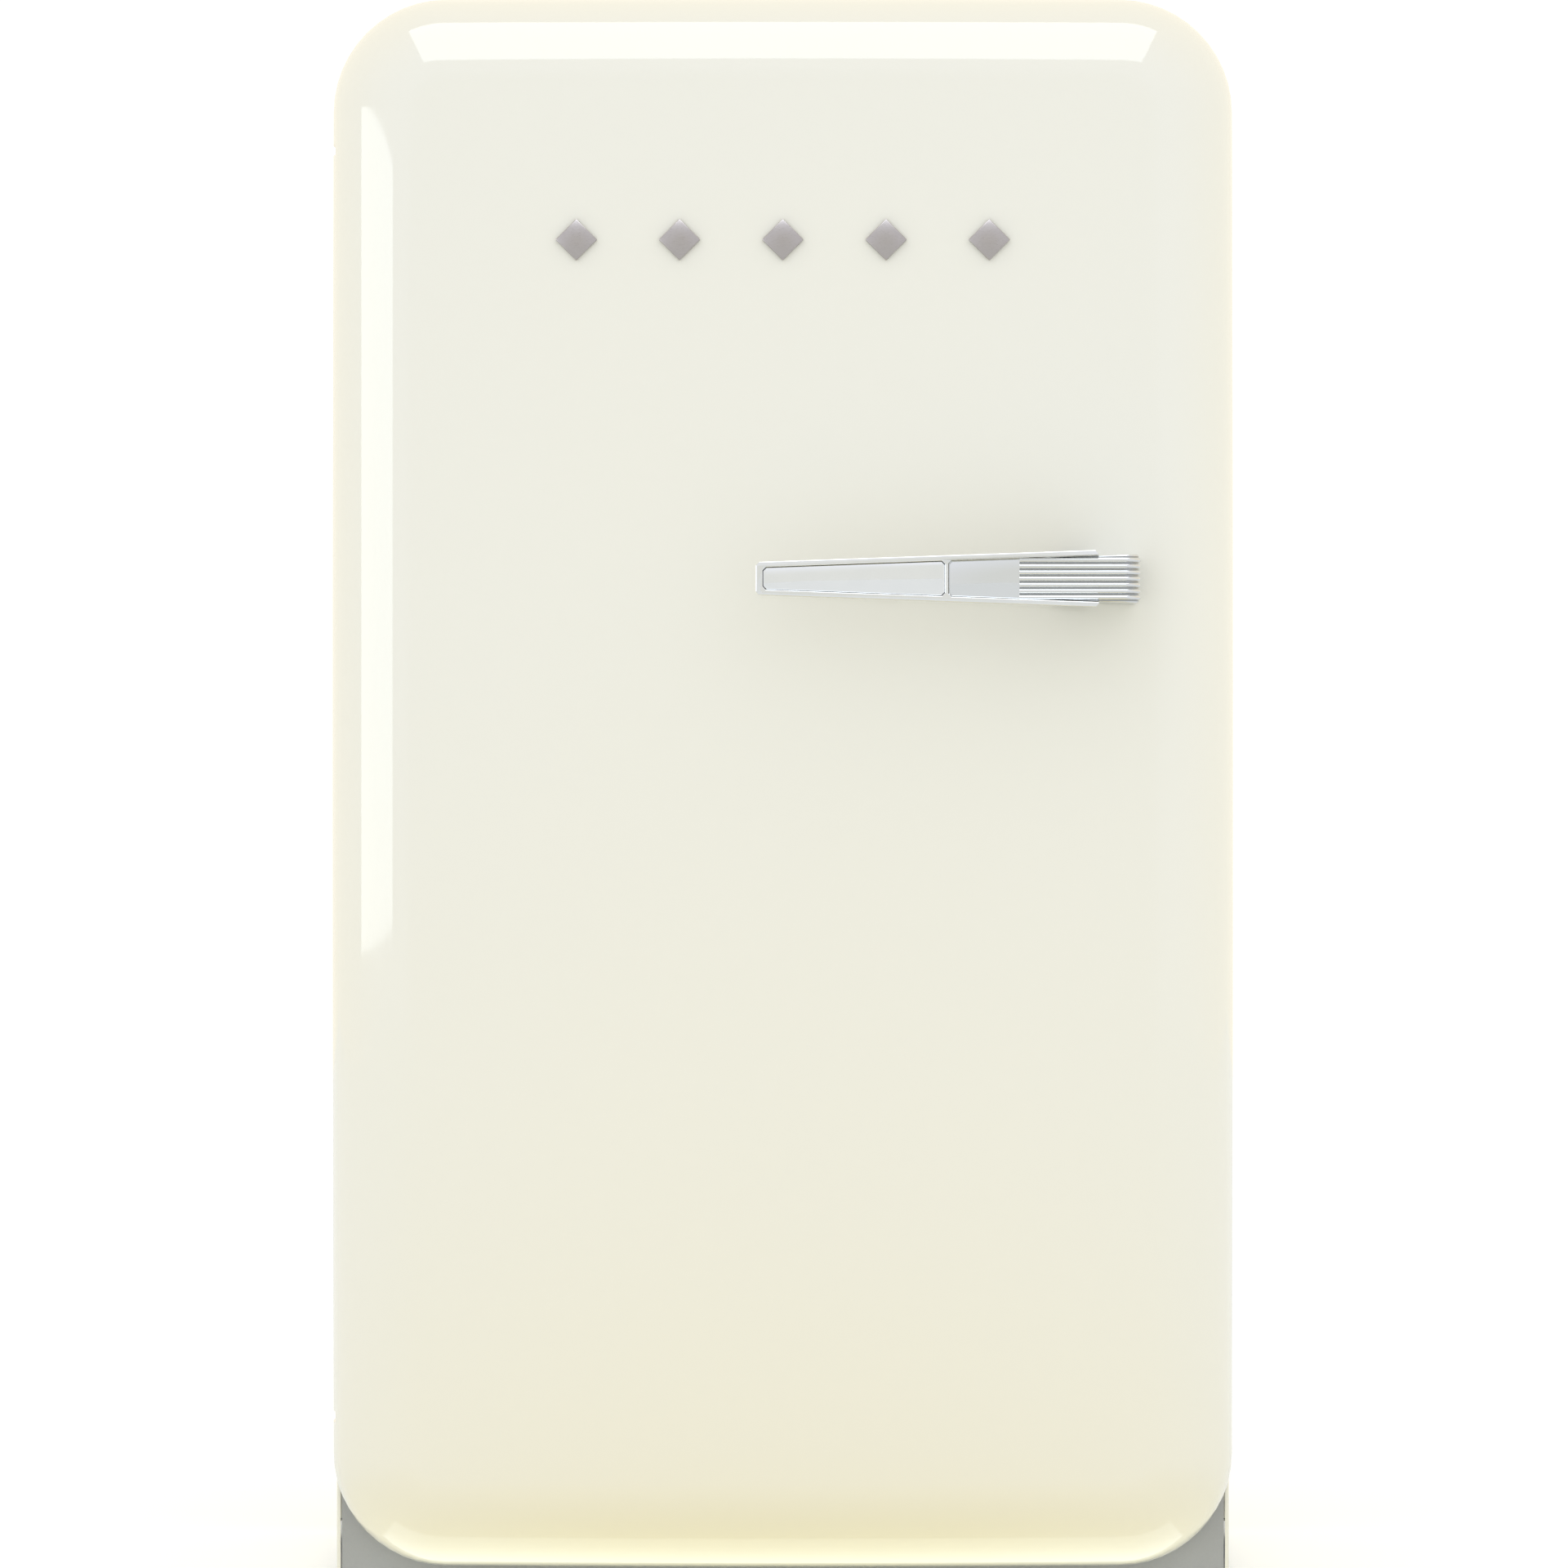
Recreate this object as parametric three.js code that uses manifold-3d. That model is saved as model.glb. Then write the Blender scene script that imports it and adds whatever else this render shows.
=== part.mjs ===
// A one-door table-top refrigerator in the rounded style of the 1950s, as an assembly of separate pieces.
// Millimetres, +Z up. The origin is on the floor, midway across the width and the depth.
// The door's face looks along -Y, its hinges are on -X and its handle is on +X.
import * as THREE from "three";
import { mergeVertices } from "three/addons/utils/BufferGeometryUtils.js";
import Module from "manifold-3d";

const wasm = await Module();
wasm.setup();

// ---- Driving dimensions -------------------------------------------------------------------------

const WIDTH = 545; // over the door
const HEIGHT = 970; // floor to the top of the door
const CABINET_DEPTH = 454; // front flange to back panel
const DOOR_THICKNESS = 80; // at the middle of the crowned face
const SEAL_GAP = 10; // between the door's back and the cabinet's front
const HANDLE_REACH = 60; // how far the handle stands off the door
const REAR_SPACE = 28; // held by the spacers for the condenser's air

const CORNER = 68; // radius of the cabinet and the door, seen from the front
const SHEET = 1.2; // steel panels
const MOULDING = 2; // vacuum-formed liners
const GAP = 0.3; // between pieces that touch
const FLANGE = 46; // width of the cabinet's front flange, and so of the insulated walls
const REAR_WALL = 50; // insulation behind the cavity
const DOOR_BOTTOM = 21;
const SKIRT_BOTTOM = 12; // lower edge of the side panels
const SKIRT_EDGE = 2.4; // folded edge of the side panels beside the plinth
const MOUTH_BOTTOM = 96; // lower edge of the cavity's mouth
const PAN_UNDERSIDE = 46; // of the steel pan below the insulation

const STEP_LENGTH = 131; // depth of the raised step over the compressor
const STEP_TOP = 240;
const STEP_WALL = 38; // insulation between the step and the compressor

// ---- Places that follow from them ---------------------------------------------------------------

const DEPTH = HANDLE_REACH + DOOR_THICKNESS + SEAL_GAP + CABINET_DEPTH + REAR_SPACE;
const HANDLE_FRONT = -DEPTH / 2;
const DOOR_FRONT = HANDLE_FRONT + HANDLE_REACH;
const DOOR_BACK = DOOR_FRONT + DOOR_THICKNESS;
const CABINET_FRONT = DOOR_BACK + SEAL_GAP;
const CABINET_BACK = CABINET_FRONT + CABINET_DEPTH;
const WALL = DEPTH / 2;

const CABINET_HALF = WIDTH / 2 - 1;
const CABINET_TOP = HEIGHT - 1;
const MOUTH_HALF = CABINET_HALF - FLANGE;
const MOUTH_TOP = CABINET_TOP - FLANGE;
const CAVITY_HALF = MOUTH_HALF - GAP - MOULDING;
const CAVITY_TOP = MOUTH_TOP - GAP - MOULDING;
const CAVITY_FLOOR = MOUTH_BOTTOM + GAP + MOULDING;
const CAVITY_BACK = CABINET_BACK - SHEET - REAR_WALL;
const MOUTH_CORNER = CORNER - FLANGE;
const CAVITY_CORNER = MOUTH_CORNER - GAP - MOULDING;
const STEP_FRONT = CAVITY_BACK - STEP_LENGTH;
const RECESS_FRONT = STEP_FRONT + STEP_WALL;
const RECESS_TOP = STEP_TOP - STEP_WALL;
const FOAM_FRONT = CABINET_FRONT + SHEET + MOULDING + 2 * GAP;
const FOAM_BOTTOM = PAN_UNDERSIDE + SHEET + GAP;

// ---- Solids -------------------------------------------------------------------------------------

function toSolid(geometry) {
  const bare = geometry.clone();
  bare.deleteAttribute("normal");
  bare.deleteAttribute("uv");
  const merged = mergeVertices(bare, 1e-4);
  const mesh = new wasm.Mesh({
    numProp: 3,
    vertProperties: merged.attributes.position.array,
    triVerts: new Uint32Array(merged.index.array),
  });
  return new wasm.Manifold(mesh);
}

function toGeometry(solid) {
  const mesh = solid.getMesh();
  return new THREE.BufferGeometry()
    .setAttribute("position", new THREE.BufferAttribute(new Float32Array(mesh.vertProperties), 3))
    .setIndex(new THREE.BufferAttribute(new Uint32Array(mesh.triVerts), 1));
}

const cut = (base, ...tools) =>
  toGeometry(tools.reduce((solid, tool) => solid.subtract(toSolid(tool)), toSolid(base)));
const join = (base, ...others) =>
  toGeometry(others.reduce((solid, other) => solid.add(toSolid(other)), toSolid(base)));
const common = (one, other) => toGeometry(toSolid(one).intersect(toSolid(other)));

const box = (x0, x1, y0, y1, z0, z1) =>
  new THREE.BoxGeometry(x1 - x0, y1 - y0, z1 - z0).translate((x0 + x1) / 2, (y0 + y1) / 2, (z0 + z1) / 2);

// A rectangle with round corners, from (x0, y0) to (x1, y1). Radii start at the lower right.
function roundedRectangle(x0, x1, y0, y1, radii) {
  const [a, b, c, d] = Array.isArray(radii) ? radii : [radii, radii, radii, radii];
  return new THREE.Shape()
    .moveTo(x0 + d, y0)
    .lineTo(x1 - a, y0)
    .absarc(x1 - a, y0 + a, a, -Math.PI / 2, 0)
    .absarc(x1 - b, y1 - b, b, 0, Math.PI / 2)
    .absarc(x0 + c, y1 - c, c, Math.PI / 2, Math.PI)
    .absarc(x0 + d, y0 + d, d, Math.PI, 1.5 * Math.PI);
}

const extrude = (shape, depth, curveSegments) =>
  new THREE.ExtrudeGeometry(shape, { depth, curveSegments, bevelEnabled: false });
// A shape drawn in X and Z, from y0 to y1.
const prismY = (shape, y0, y1, segments = 6) =>
  extrude(shape, y1 - y0, segments).rotateX(Math.PI / 2).translate(0, y1, 0);
// A shape drawn in X and Y, from z0 to z1.
const prismZ = (shape, z0, z1, segments = 6) => extrude(shape, z1 - z0, segments).translate(0, 0, z0);
// A shape drawn in Y and Z, from x0 to x1.
const prismX = (shape, x0, x1, segments = 6) =>
  extrude(shape, x1 - x0, segments)
    .applyMatrix4(
      new THREE.Matrix4().makeBasis(
        new THREE.Vector3(0, 1, 0),
        new THREE.Vector3(0, 0, 1),
        new THREE.Vector3(1, 0, 0),
      ),
    )
    .translate(x0, 0, 0);

const outline = (...points) => new THREE.Shape(points.map(([x, y]) => new THREE.Vector2(x, y)));
const polygon = (radius, sides) =>
  outline(
    ...Array.from({ length: sides }, (_, i) => {
      const turn = ((i + 0.5) * 2 * Math.PI) / sides;
      return [radius * Math.cos(turn), radius * Math.sin(turn)];
    }),
  );
// A profile of [radius, height] pairs turned about Z.
const turned = (profile, segments = 20) =>
  new THREE.LatheGeometry(profile.map(([r, z]) => new THREE.Vector2(r, z)), segments).rotateX(Math.PI / 2);
const disc = (radius, z0, z1, sides = 20) => prismZ(polygon(radius, sides), z0, z1);

// A path that steps from each of its points to the next, however far apart they are.
class Route extends THREE.Curve {
  constructor(points) {
    super();
    this.points = points;
  }
  getPointAt(u, target = new THREE.Vector3()) {
    const along = u * (this.points.length - 1);
    const i = Math.min(Math.floor(along + 1e-6), this.points.length - 2);
    return target.lerpVectors(this.points[i], this.points[i + 1], along - i);
  }
  getTangentAt(u, target = new THREE.Vector3()) {
    const last = this.points.length - 1;
    const i = Math.round(u * last);
    const before = target.subVectors(this.points[i], this.points[Math.max(i - 1, 0)]).normalize();
    const after = new THREE.Vector3().subVectors(this.points[Math.min(i + 1, last)], this.points[i]);
    return before.add(after.normalize()).normalize();
  }
}

// Corner points [x, y, z] with each inner corner rounded off.
function rounded(corners, radius, steps = 4) {
  const points = corners.map((c) => new THREE.Vector3(...c));
  const path = [points[0]];
  for (let i = 1; i < points.length - 1; i++) {
    const towards = (other) => {
      const way = new THREE.Vector3().subVectors(other, points[i]);
      return points[i].clone().addScaledVector(way.normalize(), radius);
    };
    const arc = new THREE.QuadraticBezierCurve3(towards(points[i - 1]), points[i], towards(points[i + 1]));
    path.push(...arc.getPoints(steps));
  }
  return [...path, points.at(-1)];
}

const rod = (points, radius, sides = 8) =>
  new THREE.ExtrudeGeometry(polygon(radius, sides), {
    steps: points.length - 1,
    extrudePath: new Route(points),
    bevelEnabled: false,
  });

// ---- Materials and nodes ------------------------------------------------------------------------

const finish = (color, roughness, metalness = 0, more = {}) =>
  new THREE.MeshStandardMaterial({ color, roughness, metalness, ...more });
const CREAM_ENAMEL = finish(0xefe9d2, 0.15);
const GREY_PAINT = finish(0xaaadad, 0.5);
const WHITE_PLASTIC = finish(0xf2f3f1, 0.35);
const SEAL_RUBBER = finish(0xd9d8d2, 0.7);
const CHROME = finish(0xdfe2e4, 0.08, 1);
const SATIN_METAL = finish(0xb2abaa, 0.35, 1);
const GALVANISED = finish(0xb9bcbc, 0.5, 0.8);
const FOAM = finish(0xe8dcae, 0.95);
const GLASS = finish(0xe4f2ee, 0.05, 0, { transparent: true, opacity: 0.35 });
const CLEAR_PLASTIC = finish(0xeaf3f6, 0.1, 0, { transparent: true, opacity: 0.4 });
const BLACK_PAINT = finish(0x17181a, 0.45);
const COPPER = finish(0xb87046, 0.3, 1);
const BLACK_PLASTIC = finish(0x232426, 0.55);
const GREY_RUBBER = finish(0x3a3b3c, 0.85);
const LAMP_COVER = finish(0xfbfbf4, 0.3);

const fridge = new THREE.Group();
function add(name, geometry, material) {
  const mesh = new THREE.Mesh(geometry, material);
  mesh.name = name;
  fridge.add(mesh);
}

const SIDES = [
  ["left", -1],
  ["right", 1],
];

// ---- Hinges: one steel bracket above the other, with upright pins the door is lowered onto -------

const HINGE_X = -(WIDTH / 2 - 14);
const HINGE_Y = DOOR_BACK - 14; // so that the rounded edge clears the cabinet all the way to 120 degrees
const HINGE_SETBACK = 92; // of each lug from the door's top and bottom
const HINGE_HEIGHTS = { top: HEIGHT - HINGE_SETBACK, bottom: DOOR_BOTTOM + HINGE_SETBACK };
const LUG_HALF = 8;
const LUG_THICKNESS = 5;
const PIN_RADIUS = 3.5;
const PIN_LENGTH = 18;
const BUSH_RADIUS = 6;
const BUSH_BORE = 4;
const PLATE_HALF_HEIGHT = 22;

const hingePlateBack = FOAM_FRONT + 2.5;

function lugShape(halfWidth, back) {
  return new THREE.Shape()
    .moveTo(HINGE_X - halfWidth, back)
    .absarc(HINGE_X, HINGE_Y, halfWidth, Math.PI, 2 * Math.PI)
    .lineTo(HINGE_X + halfWidth, back);
}

function hingeBracket(z) {
  const half = LUG_THICKNESS / 2;
  return join(
    prismZ(lugShape(LUG_HALF, hingePlateBack), z - half, z + half, 12),
    box(
      HINGE_X - LUG_HALF,
      HINGE_X + LUG_HALF,
      FOAM_FRONT,
      hingePlateBack,
      z - PLATE_HALF_HEIGHT,
      z + PLATE_HALF_HEIGHT,
    ),
    disc(PIN_RADIUS, z, z + half + PIN_LENGTH, 16).translate(HINGE_X, HINGE_Y, 0),
  );
}

function hingeBush(z) {
  const low = z + LUG_THICKNESS / 2 + GAP;
  const high = low + PIN_LENGTH + 1;
  return cut(disc(BUSH_RADIUS, low, high), disc(BUSH_BORE, low - 1, high + 1)).translate(HINGE_X, HINGE_Y, 0);
}

// Room in the door for a lug to turn through the whole swing, and for its bush.
const LUG_CLEARANCE = 1.2;
const lugSlot = (z) =>
  box(
    -WIDTH,
    HINGE_X + LUG_HALF + 2,
    HINGE_Y - LUG_HALF - 11,
    CABINET_FRONT,
    z - LUG_THICKNESS / 2 - LUG_CLEARANCE,
    z + LUG_THICKNESS / 2 + GAP,
  );
const bushPocket = (z) =>
  disc(BUSH_RADIUS + GAP, z, z + LUG_THICKNESS / 2 + PIN_LENGTH + 1 + 2 * GAP).translate(HINGE_X, HINGE_Y, 0);

const bracketRoom = (z) =>
  box(
    HINGE_X - LUG_HALF - GAP,
    HINGE_X + LUG_HALF + GAP,
    FOAM_FRONT - 1,
    hingePlateBack + GAP,
    z - PLATE_HALF_HEIGHT - GAP,
    z + PLATE_HALF_HEIGHT + GAP,
  );
const lugRoom = (z) =>
  box(
    HINGE_X - LUG_HALF - GAP,
    HINGE_X + LUG_HALF + GAP,
    CABINET_FRONT - 1,
    FOAM_FRONT + 1,
    z - LUG_THICKNESS / 2 - GAP,
    z + LUG_THICKNESS / 2 + GAP,
  );

for (const [name, z] of Object.entries(HINGE_HEIGHTS)) {
  add(`hinge_bracket_${name}`, hingeBracket(z), GALVANISED);
  add(`hinge_bush_${name}`, hingeBush(z), WHITE_PLASTIC);
}
const hingeLevels = Object.values(HINGE_HEIGHTS);

// ---- Cabinet: one sheet wrapped over both sides and the top --------------------------------------

// The arch seen from the front, drawn in by inset, down to a level.
const arch = (inset, bottom) =>
  roundedRectangle(inset - CABINET_HALF, CABINET_HALF - inset, bottom, CABINET_TOP - inset, [
    0,
    CORNER - inset,
    CORNER - inset,
    0,
  ]);

function cabinetWrap() {
  const mouth = roundedRectangle(-MOUTH_HALF, MOUTH_HALF, MOUTH_BOTTOM, MOUTH_TOP, MOUTH_CORNER);
  const skirt = CABINET_HALF - SKIRT_EDGE;
  return cut(
    prismY(arch(0, SKIRT_BOTTOM), CABINET_FRONT, CABINET_BACK, 8),
    prismY(arch(SHEET, SKIRT_BOTTOM - 1), CABINET_FRONT + SHEET, CABINET_BACK + 1, 8),
    prismY(mouth, CABINET_FRONT - 1, CABINET_FRONT + SHEET + 1, 4),
    box(
      -skirt,
      skirt,
      CABINET_FRONT - 1,
      CABINET_FRONT + SHEET + 1,
      SKIRT_BOTTOM - 1,
      MOUTH_BOTTOM + MOUTH_CORNER / 2,
    ),
    ...hingeLevels.map(lugRoom),
  );
}
add("cabinet_wrap", cabinetWrap(), CREAM_ENAMEL);

// The cavity with its raised step at the back, grown outwards on every side.
function cavity(grow, front) {
  const face = roundedRectangle(
    -CAVITY_HALF - grow,
    CAVITY_HALF + grow,
    CAVITY_FLOOR - grow,
    CAVITY_TOP + grow,
    CAVITY_CORNER + grow,
  );
  const back = CAVITY_BACK + grow;
  return cut(
    prismY(face, front, back, 4),
    box(-WIDTH, WIDTH, STEP_FRONT + grow, back + 1, 0, STEP_TOP - grow),
  );
}

const DRAIN = { x: -40, y: CAVITY_BACK - 16, radius: 7, rim: 11, low: RECESS_TOP - 10 };
const drainRoom = () => disc(DRAIN.radius + GAP + 0.1, 0, STEP_TOP + 1, 12).translate(DRAIN.x, DRAIN.y, 0);

// Shelf levels that the moulded runners offer.
const CRISPER_GLASS = STEP_TOP + 4;
const RUNNER_COUNT = 7;
const TOP_SPACE = 118.7; // over the highest runner, for the lamp and tall food
const RUNNER_PITCH = (CAVITY_TOP - TOP_SPACE - CRISPER_GLASS) / (RUNNER_COUNT - 1);
const RUNNERS = Array.from({ length: RUNNER_COUNT }, (_, i) => CRISPER_GLASS + i * RUNNER_PITCH);
const RUNNER_WIDTH = 8;
const RUNNER_HEIGHT = 5;
const RUNNER_FRONT = CABINET_FRONT + 122;

function innerLiner() {
  const lipBack = CABINET_FRONT + SHEET + GAP + MOULDING;
  const lip = prismY(arch(SHEET + GAP, FOAM_BOTTOM), lipBack - MOULDING, lipBack, 8);
  const runners = RUNNERS.flatMap((level) =>
    SIDES.map(([, side]) => {
      const xs = [side * (CAVITY_HALF + 1), side * (CAVITY_HALF - RUNNER_WIDTH)].sort((a, b) => a - b);
      return box(...xs, RUNNER_FRONT, CAVITY_BACK + 1, level - RUNNER_HEIGHT, level);
    }),
  );
  const tub = cut(
    join(lip, cavity(MOULDING, lipBack - MOULDING)),
    cavity(0, CABINET_FRONT - 1),
    drainRoom(),
    ...hingeLevels.map(lugRoom),
  );
  return join(tub, ...runners);
}
add("inner_liner", innerLiner(), WHITE_PLASTIC);

// Plate evaporator behind the liner's back wall, with its channel running from side to side.
const EVAPORATOR = {
  half: CAVITY_HALF - 58,
  low: STEP_TOP + 190,
  high: CAVITY_TOP - 121,
  sheet: 1.5,
  channel: 4,
  passes: 7,
};
const evaporatorFront = CAVITY_BACK + MOULDING + GAP;

function evaporatorPlate() {
  const { half, low, high, sheet, channel, passes } = EVAPORATOR;
  const back = evaporatorFront + sheet;
  const pitch = (high - low) / passes;
  const level = (i) => low + pitch * (i + 0.5);
  const runs = Array.from({ length: passes }, (_, i) =>
    box(20 - half, half - 20, back - 0.5, back + channel, level(i) - 4, level(i) + 4),
  );
  const turns = runs.slice(1).map((_, i) => {
    const end = i % 2 ? 20 - half : half - 28;
    return box(end, end + 8, back - 0.5, back + channel, level(i), level(i + 1));
  });
  return join(box(-half, half, evaporatorFront, back, low, high), ...runs, ...turns);
}
add("evaporator_plate", evaporatorPlate(), GALVANISED);

// Levelling feet, and the room above each for its stem when it is screwed right in.
const FOOT = { x: CABINET_HALF - 49.5, y: CABINET_FRONT + 36, pad: 18, stem: 5, top: 52, travel: 10 };
const FOOT_ROOM = FOOT.top + FOOT.travel + 2;

function cabinetFoam() {
  const { half, low, high, sheet, channel } = EVAPORATOR;
  const foamBack = CABINET_BACK - SHEET - GAP;
  const plateRoom = box(
    -half - GAP,
    half + GAP,
    evaporatorFront - 1,
    evaporatorFront + sheet + channel + GAP,
    low - GAP,
    high + GAP,
  );
  return cut(
    prismY(arch(SHEET + GAP, FOAM_BOTTOM), FOAM_FRONT, foamBack, 8),
    cavity(MOULDING + GAP, FOAM_FRONT - 1),
    box(-WIDTH, WIDTH, RECESS_FRONT, foamBack + 1, 0, RECESS_TOP),
    plateRoom,
    drainRoom(),
    ...hingeLevels.map(bracketRoom),
    ...SIDES.map(([, side]) => disc(FOOT.stem + 2, 0, FOOT_ROOM, 12).translate(side * FOOT.x, FOOT.y, 0)),
  );
}
add("cabinet_foam", cabinetFoam(), FOAM);

// ---- Base: pan under the insulation, plinth, levelling feet and rear rollers ---------------------

const ROLLER = {
  x: CABINET_HALF - 39.5,
  y: CABINET_BACK - 34,
  radius: 15,
  width: 14,
  bore: 3.6,
  axle: 3,
  sides: 18,
};
const ROLLER_HEIGHT = ROLLER.radius * Math.cos(Math.PI / ROLLER.sides);

// A sheet-steel pan: the cabinet's floor, the upright in front of the compressor and the ceiling over it.
function basePan() {
  const back = CABINET_BACK - SHEET - GAP;
  const wall = RECESS_FRONT + GAP;
  const ceiling = RECESS_TOP - GAP;
  const profile = outline(
    [CABINET_FRONT + SHEET + 2 * GAP, PAN_UNDERSIDE],
    [wall + SHEET, PAN_UNDERSIDE],
    [wall + SHEET, ceiling - SHEET],
    [back, ceiling - SHEET],
    [back, ceiling],
    [wall, ceiling],
    [wall, PAN_UNDERSIDE + SHEET],
    [CABINET_FRONT + SHEET + 2 * GAP, PAN_UNDERSIDE + SHEET],
  );
  const half = CABINET_HALF - SHEET - GAP;
  const atFeet = (radius, low, high) =>
    SIDES.map(([, side]) => disc(radius, low, high, 16).translate(side * FOOT.x, FOOT.y, 0));
  const bosses = atFeet(12, PAN_UNDERSIDE - 14, PAN_UNDERSIDE + 0.5);
  const bores = atFeet(FOOT.stem + 0.5, 0, FOOT_ROOM);
  return cut(join(prismX(profile, -half, half), ...bosses), drainRoom(), ...bores);
}
add("base_pan", basePan(), GALVANISED);

function plinth() {
  const half = CABINET_HALF - SKIRT_EDGE - 0.8;
  const back = CABINET_FRONT + SHEET;
  return join(
    box(-half, half, CABINET_FRONT, back, SKIRT_BOTTOM, MOUTH_BOTTOM - GAP),
    box(-half, half, CABINET_FRONT, CABINET_FRONT + 16, SKIRT_BOTTOM, SKIRT_BOTTOM + SHEET),
  );
}
add("plinth", plinth(), GREY_PAINT);

const levellingFoot = () =>
  turned(
    [
      [0, 0],
      [FOOT.pad - 2, 0],
      [FOOT.pad, 2],
      [FOOT.pad, 6],
      [FOOT.pad - 5, 8],
      [FOOT.stem + 3, 9],
      [FOOT.stem, 14],
      [FOOT.stem, FOOT.top - 1],
      [FOOT.stem - 1, FOOT.top],
      [0, FOOT.top],
    ],
    14,
  );

const rearRoller = () =>
  cut(
    turned(
      [
        [0, -ROLLER.width / 2],
        [ROLLER.radius - 1.5, -ROLLER.width / 2],
        [ROLLER.radius, 1.5 - ROLLER.width / 2],
        [ROLLER.radius, ROLLER.width / 2 - 1.5],
        [ROLLER.radius - 1.5, ROLLER.width / 2],
        [0, ROLLER.width / 2],
      ],
      ROLLER.sides,
    ),
    disc(ROLLER.bore, -ROLLER.width, ROLLER.width, 12),
  ).rotateY(Math.PI / 2);

for (const [name, side] of SIDES) {
  add(`front_foot_${name}`, levellingFoot().translate(side * FOOT.x, FOOT.y, 0), BLACK_PLASTIC);
  add(`rear_roller_${name}`, rearRoller().translate(side * ROLLER.x, ROLLER.y, ROLLER_HEIGHT), BLACK_PLASTIC);
}

// ---- Compressor and its carrier plate, in the recess at the back ---------------------------------

const CARRIER_TOP = 36;
const COMPRESSOR = {
  x: -40,
  y: (RECESS_FRONT + CABINET_BACK) / 2 + 4,
  height: 122,
  radius: 56,
  stretch: 1.3, // the shell is longer across than it is deep
};
const GROMMET = { x: 74, y: 44, radius: 10, height: 12 };
const grommetPlaces = [-1, 1].flatMap((u) =>
  [-1, 1].map((v) => [COMPRESSOR.x + u * GROMMET.x, COMPRESSOR.y + v * GROMMET.y]),
);

function compressorCarrier() {
  const half = CABINET_HALF - SHEET - GAP;
  const ear = (side, offset) => {
    const x = side * ROLLER.x + offset;
    return box(x - 1, x + 1, ROLLER.y - 8, ROLLER.y + 8, ROLLER_HEIGHT - 6, CARRIER_TOP - 1);
  };
  const reach = ROLLER.width / 2 + 2;
  const ears = SIDES.flatMap(([, side]) => [ear(side, -reach), ear(side, reach)]);
  const axles = SIDES.map(([, side]) =>
    disc(ROLLER.axle, -reach, reach, 12)
      .rotateY(Math.PI / 2)
      .translate(side * ROLLER.x, ROLLER.y, ROLLER_HEIGHT),
  );
  const upstand = (side) => {
    const xs = [side * half, side * (half - 2)].sort((a, b) => a - b);
    return box(...xs, RECESS_FRONT + 8, CABINET_BACK, CARRIER_TOP - 2, CARRIER_TOP + 12);
  };
  return join(
    box(-half, half, RECESS_FRONT + 8, CABINET_BACK, CARRIER_TOP - 2, CARRIER_TOP),
    ...SIDES.map(([, side]) => upstand(side)),
    ...ears,
    ...axles,
  );
}
add("compressor_carrier", compressorCarrier(), GALVANISED);

const footPlateLow = CARRIER_TOP + 5;
const footPlateTop = footPlateLow + 3;

// A rubber spool that grips the foot plate round its waist.
const compressorGrommet = () =>
  cut(
    turned(
      [
        [0, 0],
        [GROMMET.radius, 0],
        [GROMMET.radius, 4.6],
        [6.6, 4.6],
        [6.6, 8.4],
        [GROMMET.radius, 8.4],
        [GROMMET.radius - 1.5, GROMMET.height],
        [0, GROMMET.height],
      ],
      10,
    ),
    disc(3, -1, GROMMET.height + 1, 8),
  );
grommetPlaces.forEach(([x, y], i) => {
  add(`compressor_grommet_${i + 1}`, compressorGrommet().translate(x, y, CARRIER_TOP + GAP), GREY_RUBBER);
});

// Two deep-drawn halves, overlapped and welded round the middle, on a welded foot plate.
function compressor() {
  const { x, y, height, radius, stretch } = COMPRESSOR;
  const seam = height * 0.52;
  const dome = turned(
    [
      [0, 0],
      [radius * 0.7, 0],
      [radius * 0.94, height * 0.1],
      [radius, seam - 8],
      [radius + 2.5, seam - 6],
      [radius + 2.5, seam],
      [radius - 1, seam + 2],
      [radius * 0.95, height * 0.78],
      [radius * 0.8, height * 0.91],
      [radius * 0.5, height * 0.98],
      [0, height],
    ],
    18,
  );
  const plate = cut(
    prismZ(roundedRectangle(x - 86, x + 86, y - 54, y + 54, 12), footPlateLow, footPlateTop, 3),
    ...grommetPlaces.map(([gx, gy]) => disc(7, footPlateLow - 1, footPlateTop + 1, 12).translate(gx, gy, 0)),
  );
  return join(plate, dome.scale(stretch, 1, 1).translate(x, y, footPlateTop - 0.5));
}
add("compressor", compressor(), BLACK_PAINT);

const compressorEnd = COMPRESSOR.x + (COMPRESSOR.radius + 2.5) * COMPRESSOR.stretch;
const RELAY = {
  x0: compressorEnd + 1,
  width: 34,
  halfDepth: 24,
  low: footPlateTop + 26,
  high: footPlateTop + 92,
};

// Clip-on box over the compressor's terminals, with the cord's gland moulded on its outer side.
function startRelayCover() {
  const { x0, width, halfDepth, low, high } = RELAY;
  const cover = roundedRectangle(x0, x0 + width, COMPRESSOR.y - halfDepth, COMPRESSOR.y + halfDepth, 6);
  const gland = turned(
    [
      [0, -1],
      [9, -1],
      [9, 4],
      [6.5, 5],
      [6, 16],
      [0, 16],
    ],
    14,
  );
  const place = (geometry) => geometry.rotateY(Math.PI / 2).translate(x0 + width, COMPRESSOR.y, low + 20);
  return cut(join(prismZ(cover, low, high, 3), place(gland)), place(disc(3.6, 2, 20, 10)));
}
add("start_relay_cover", startRelayCover(), BLACK_PLASTIC);

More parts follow.
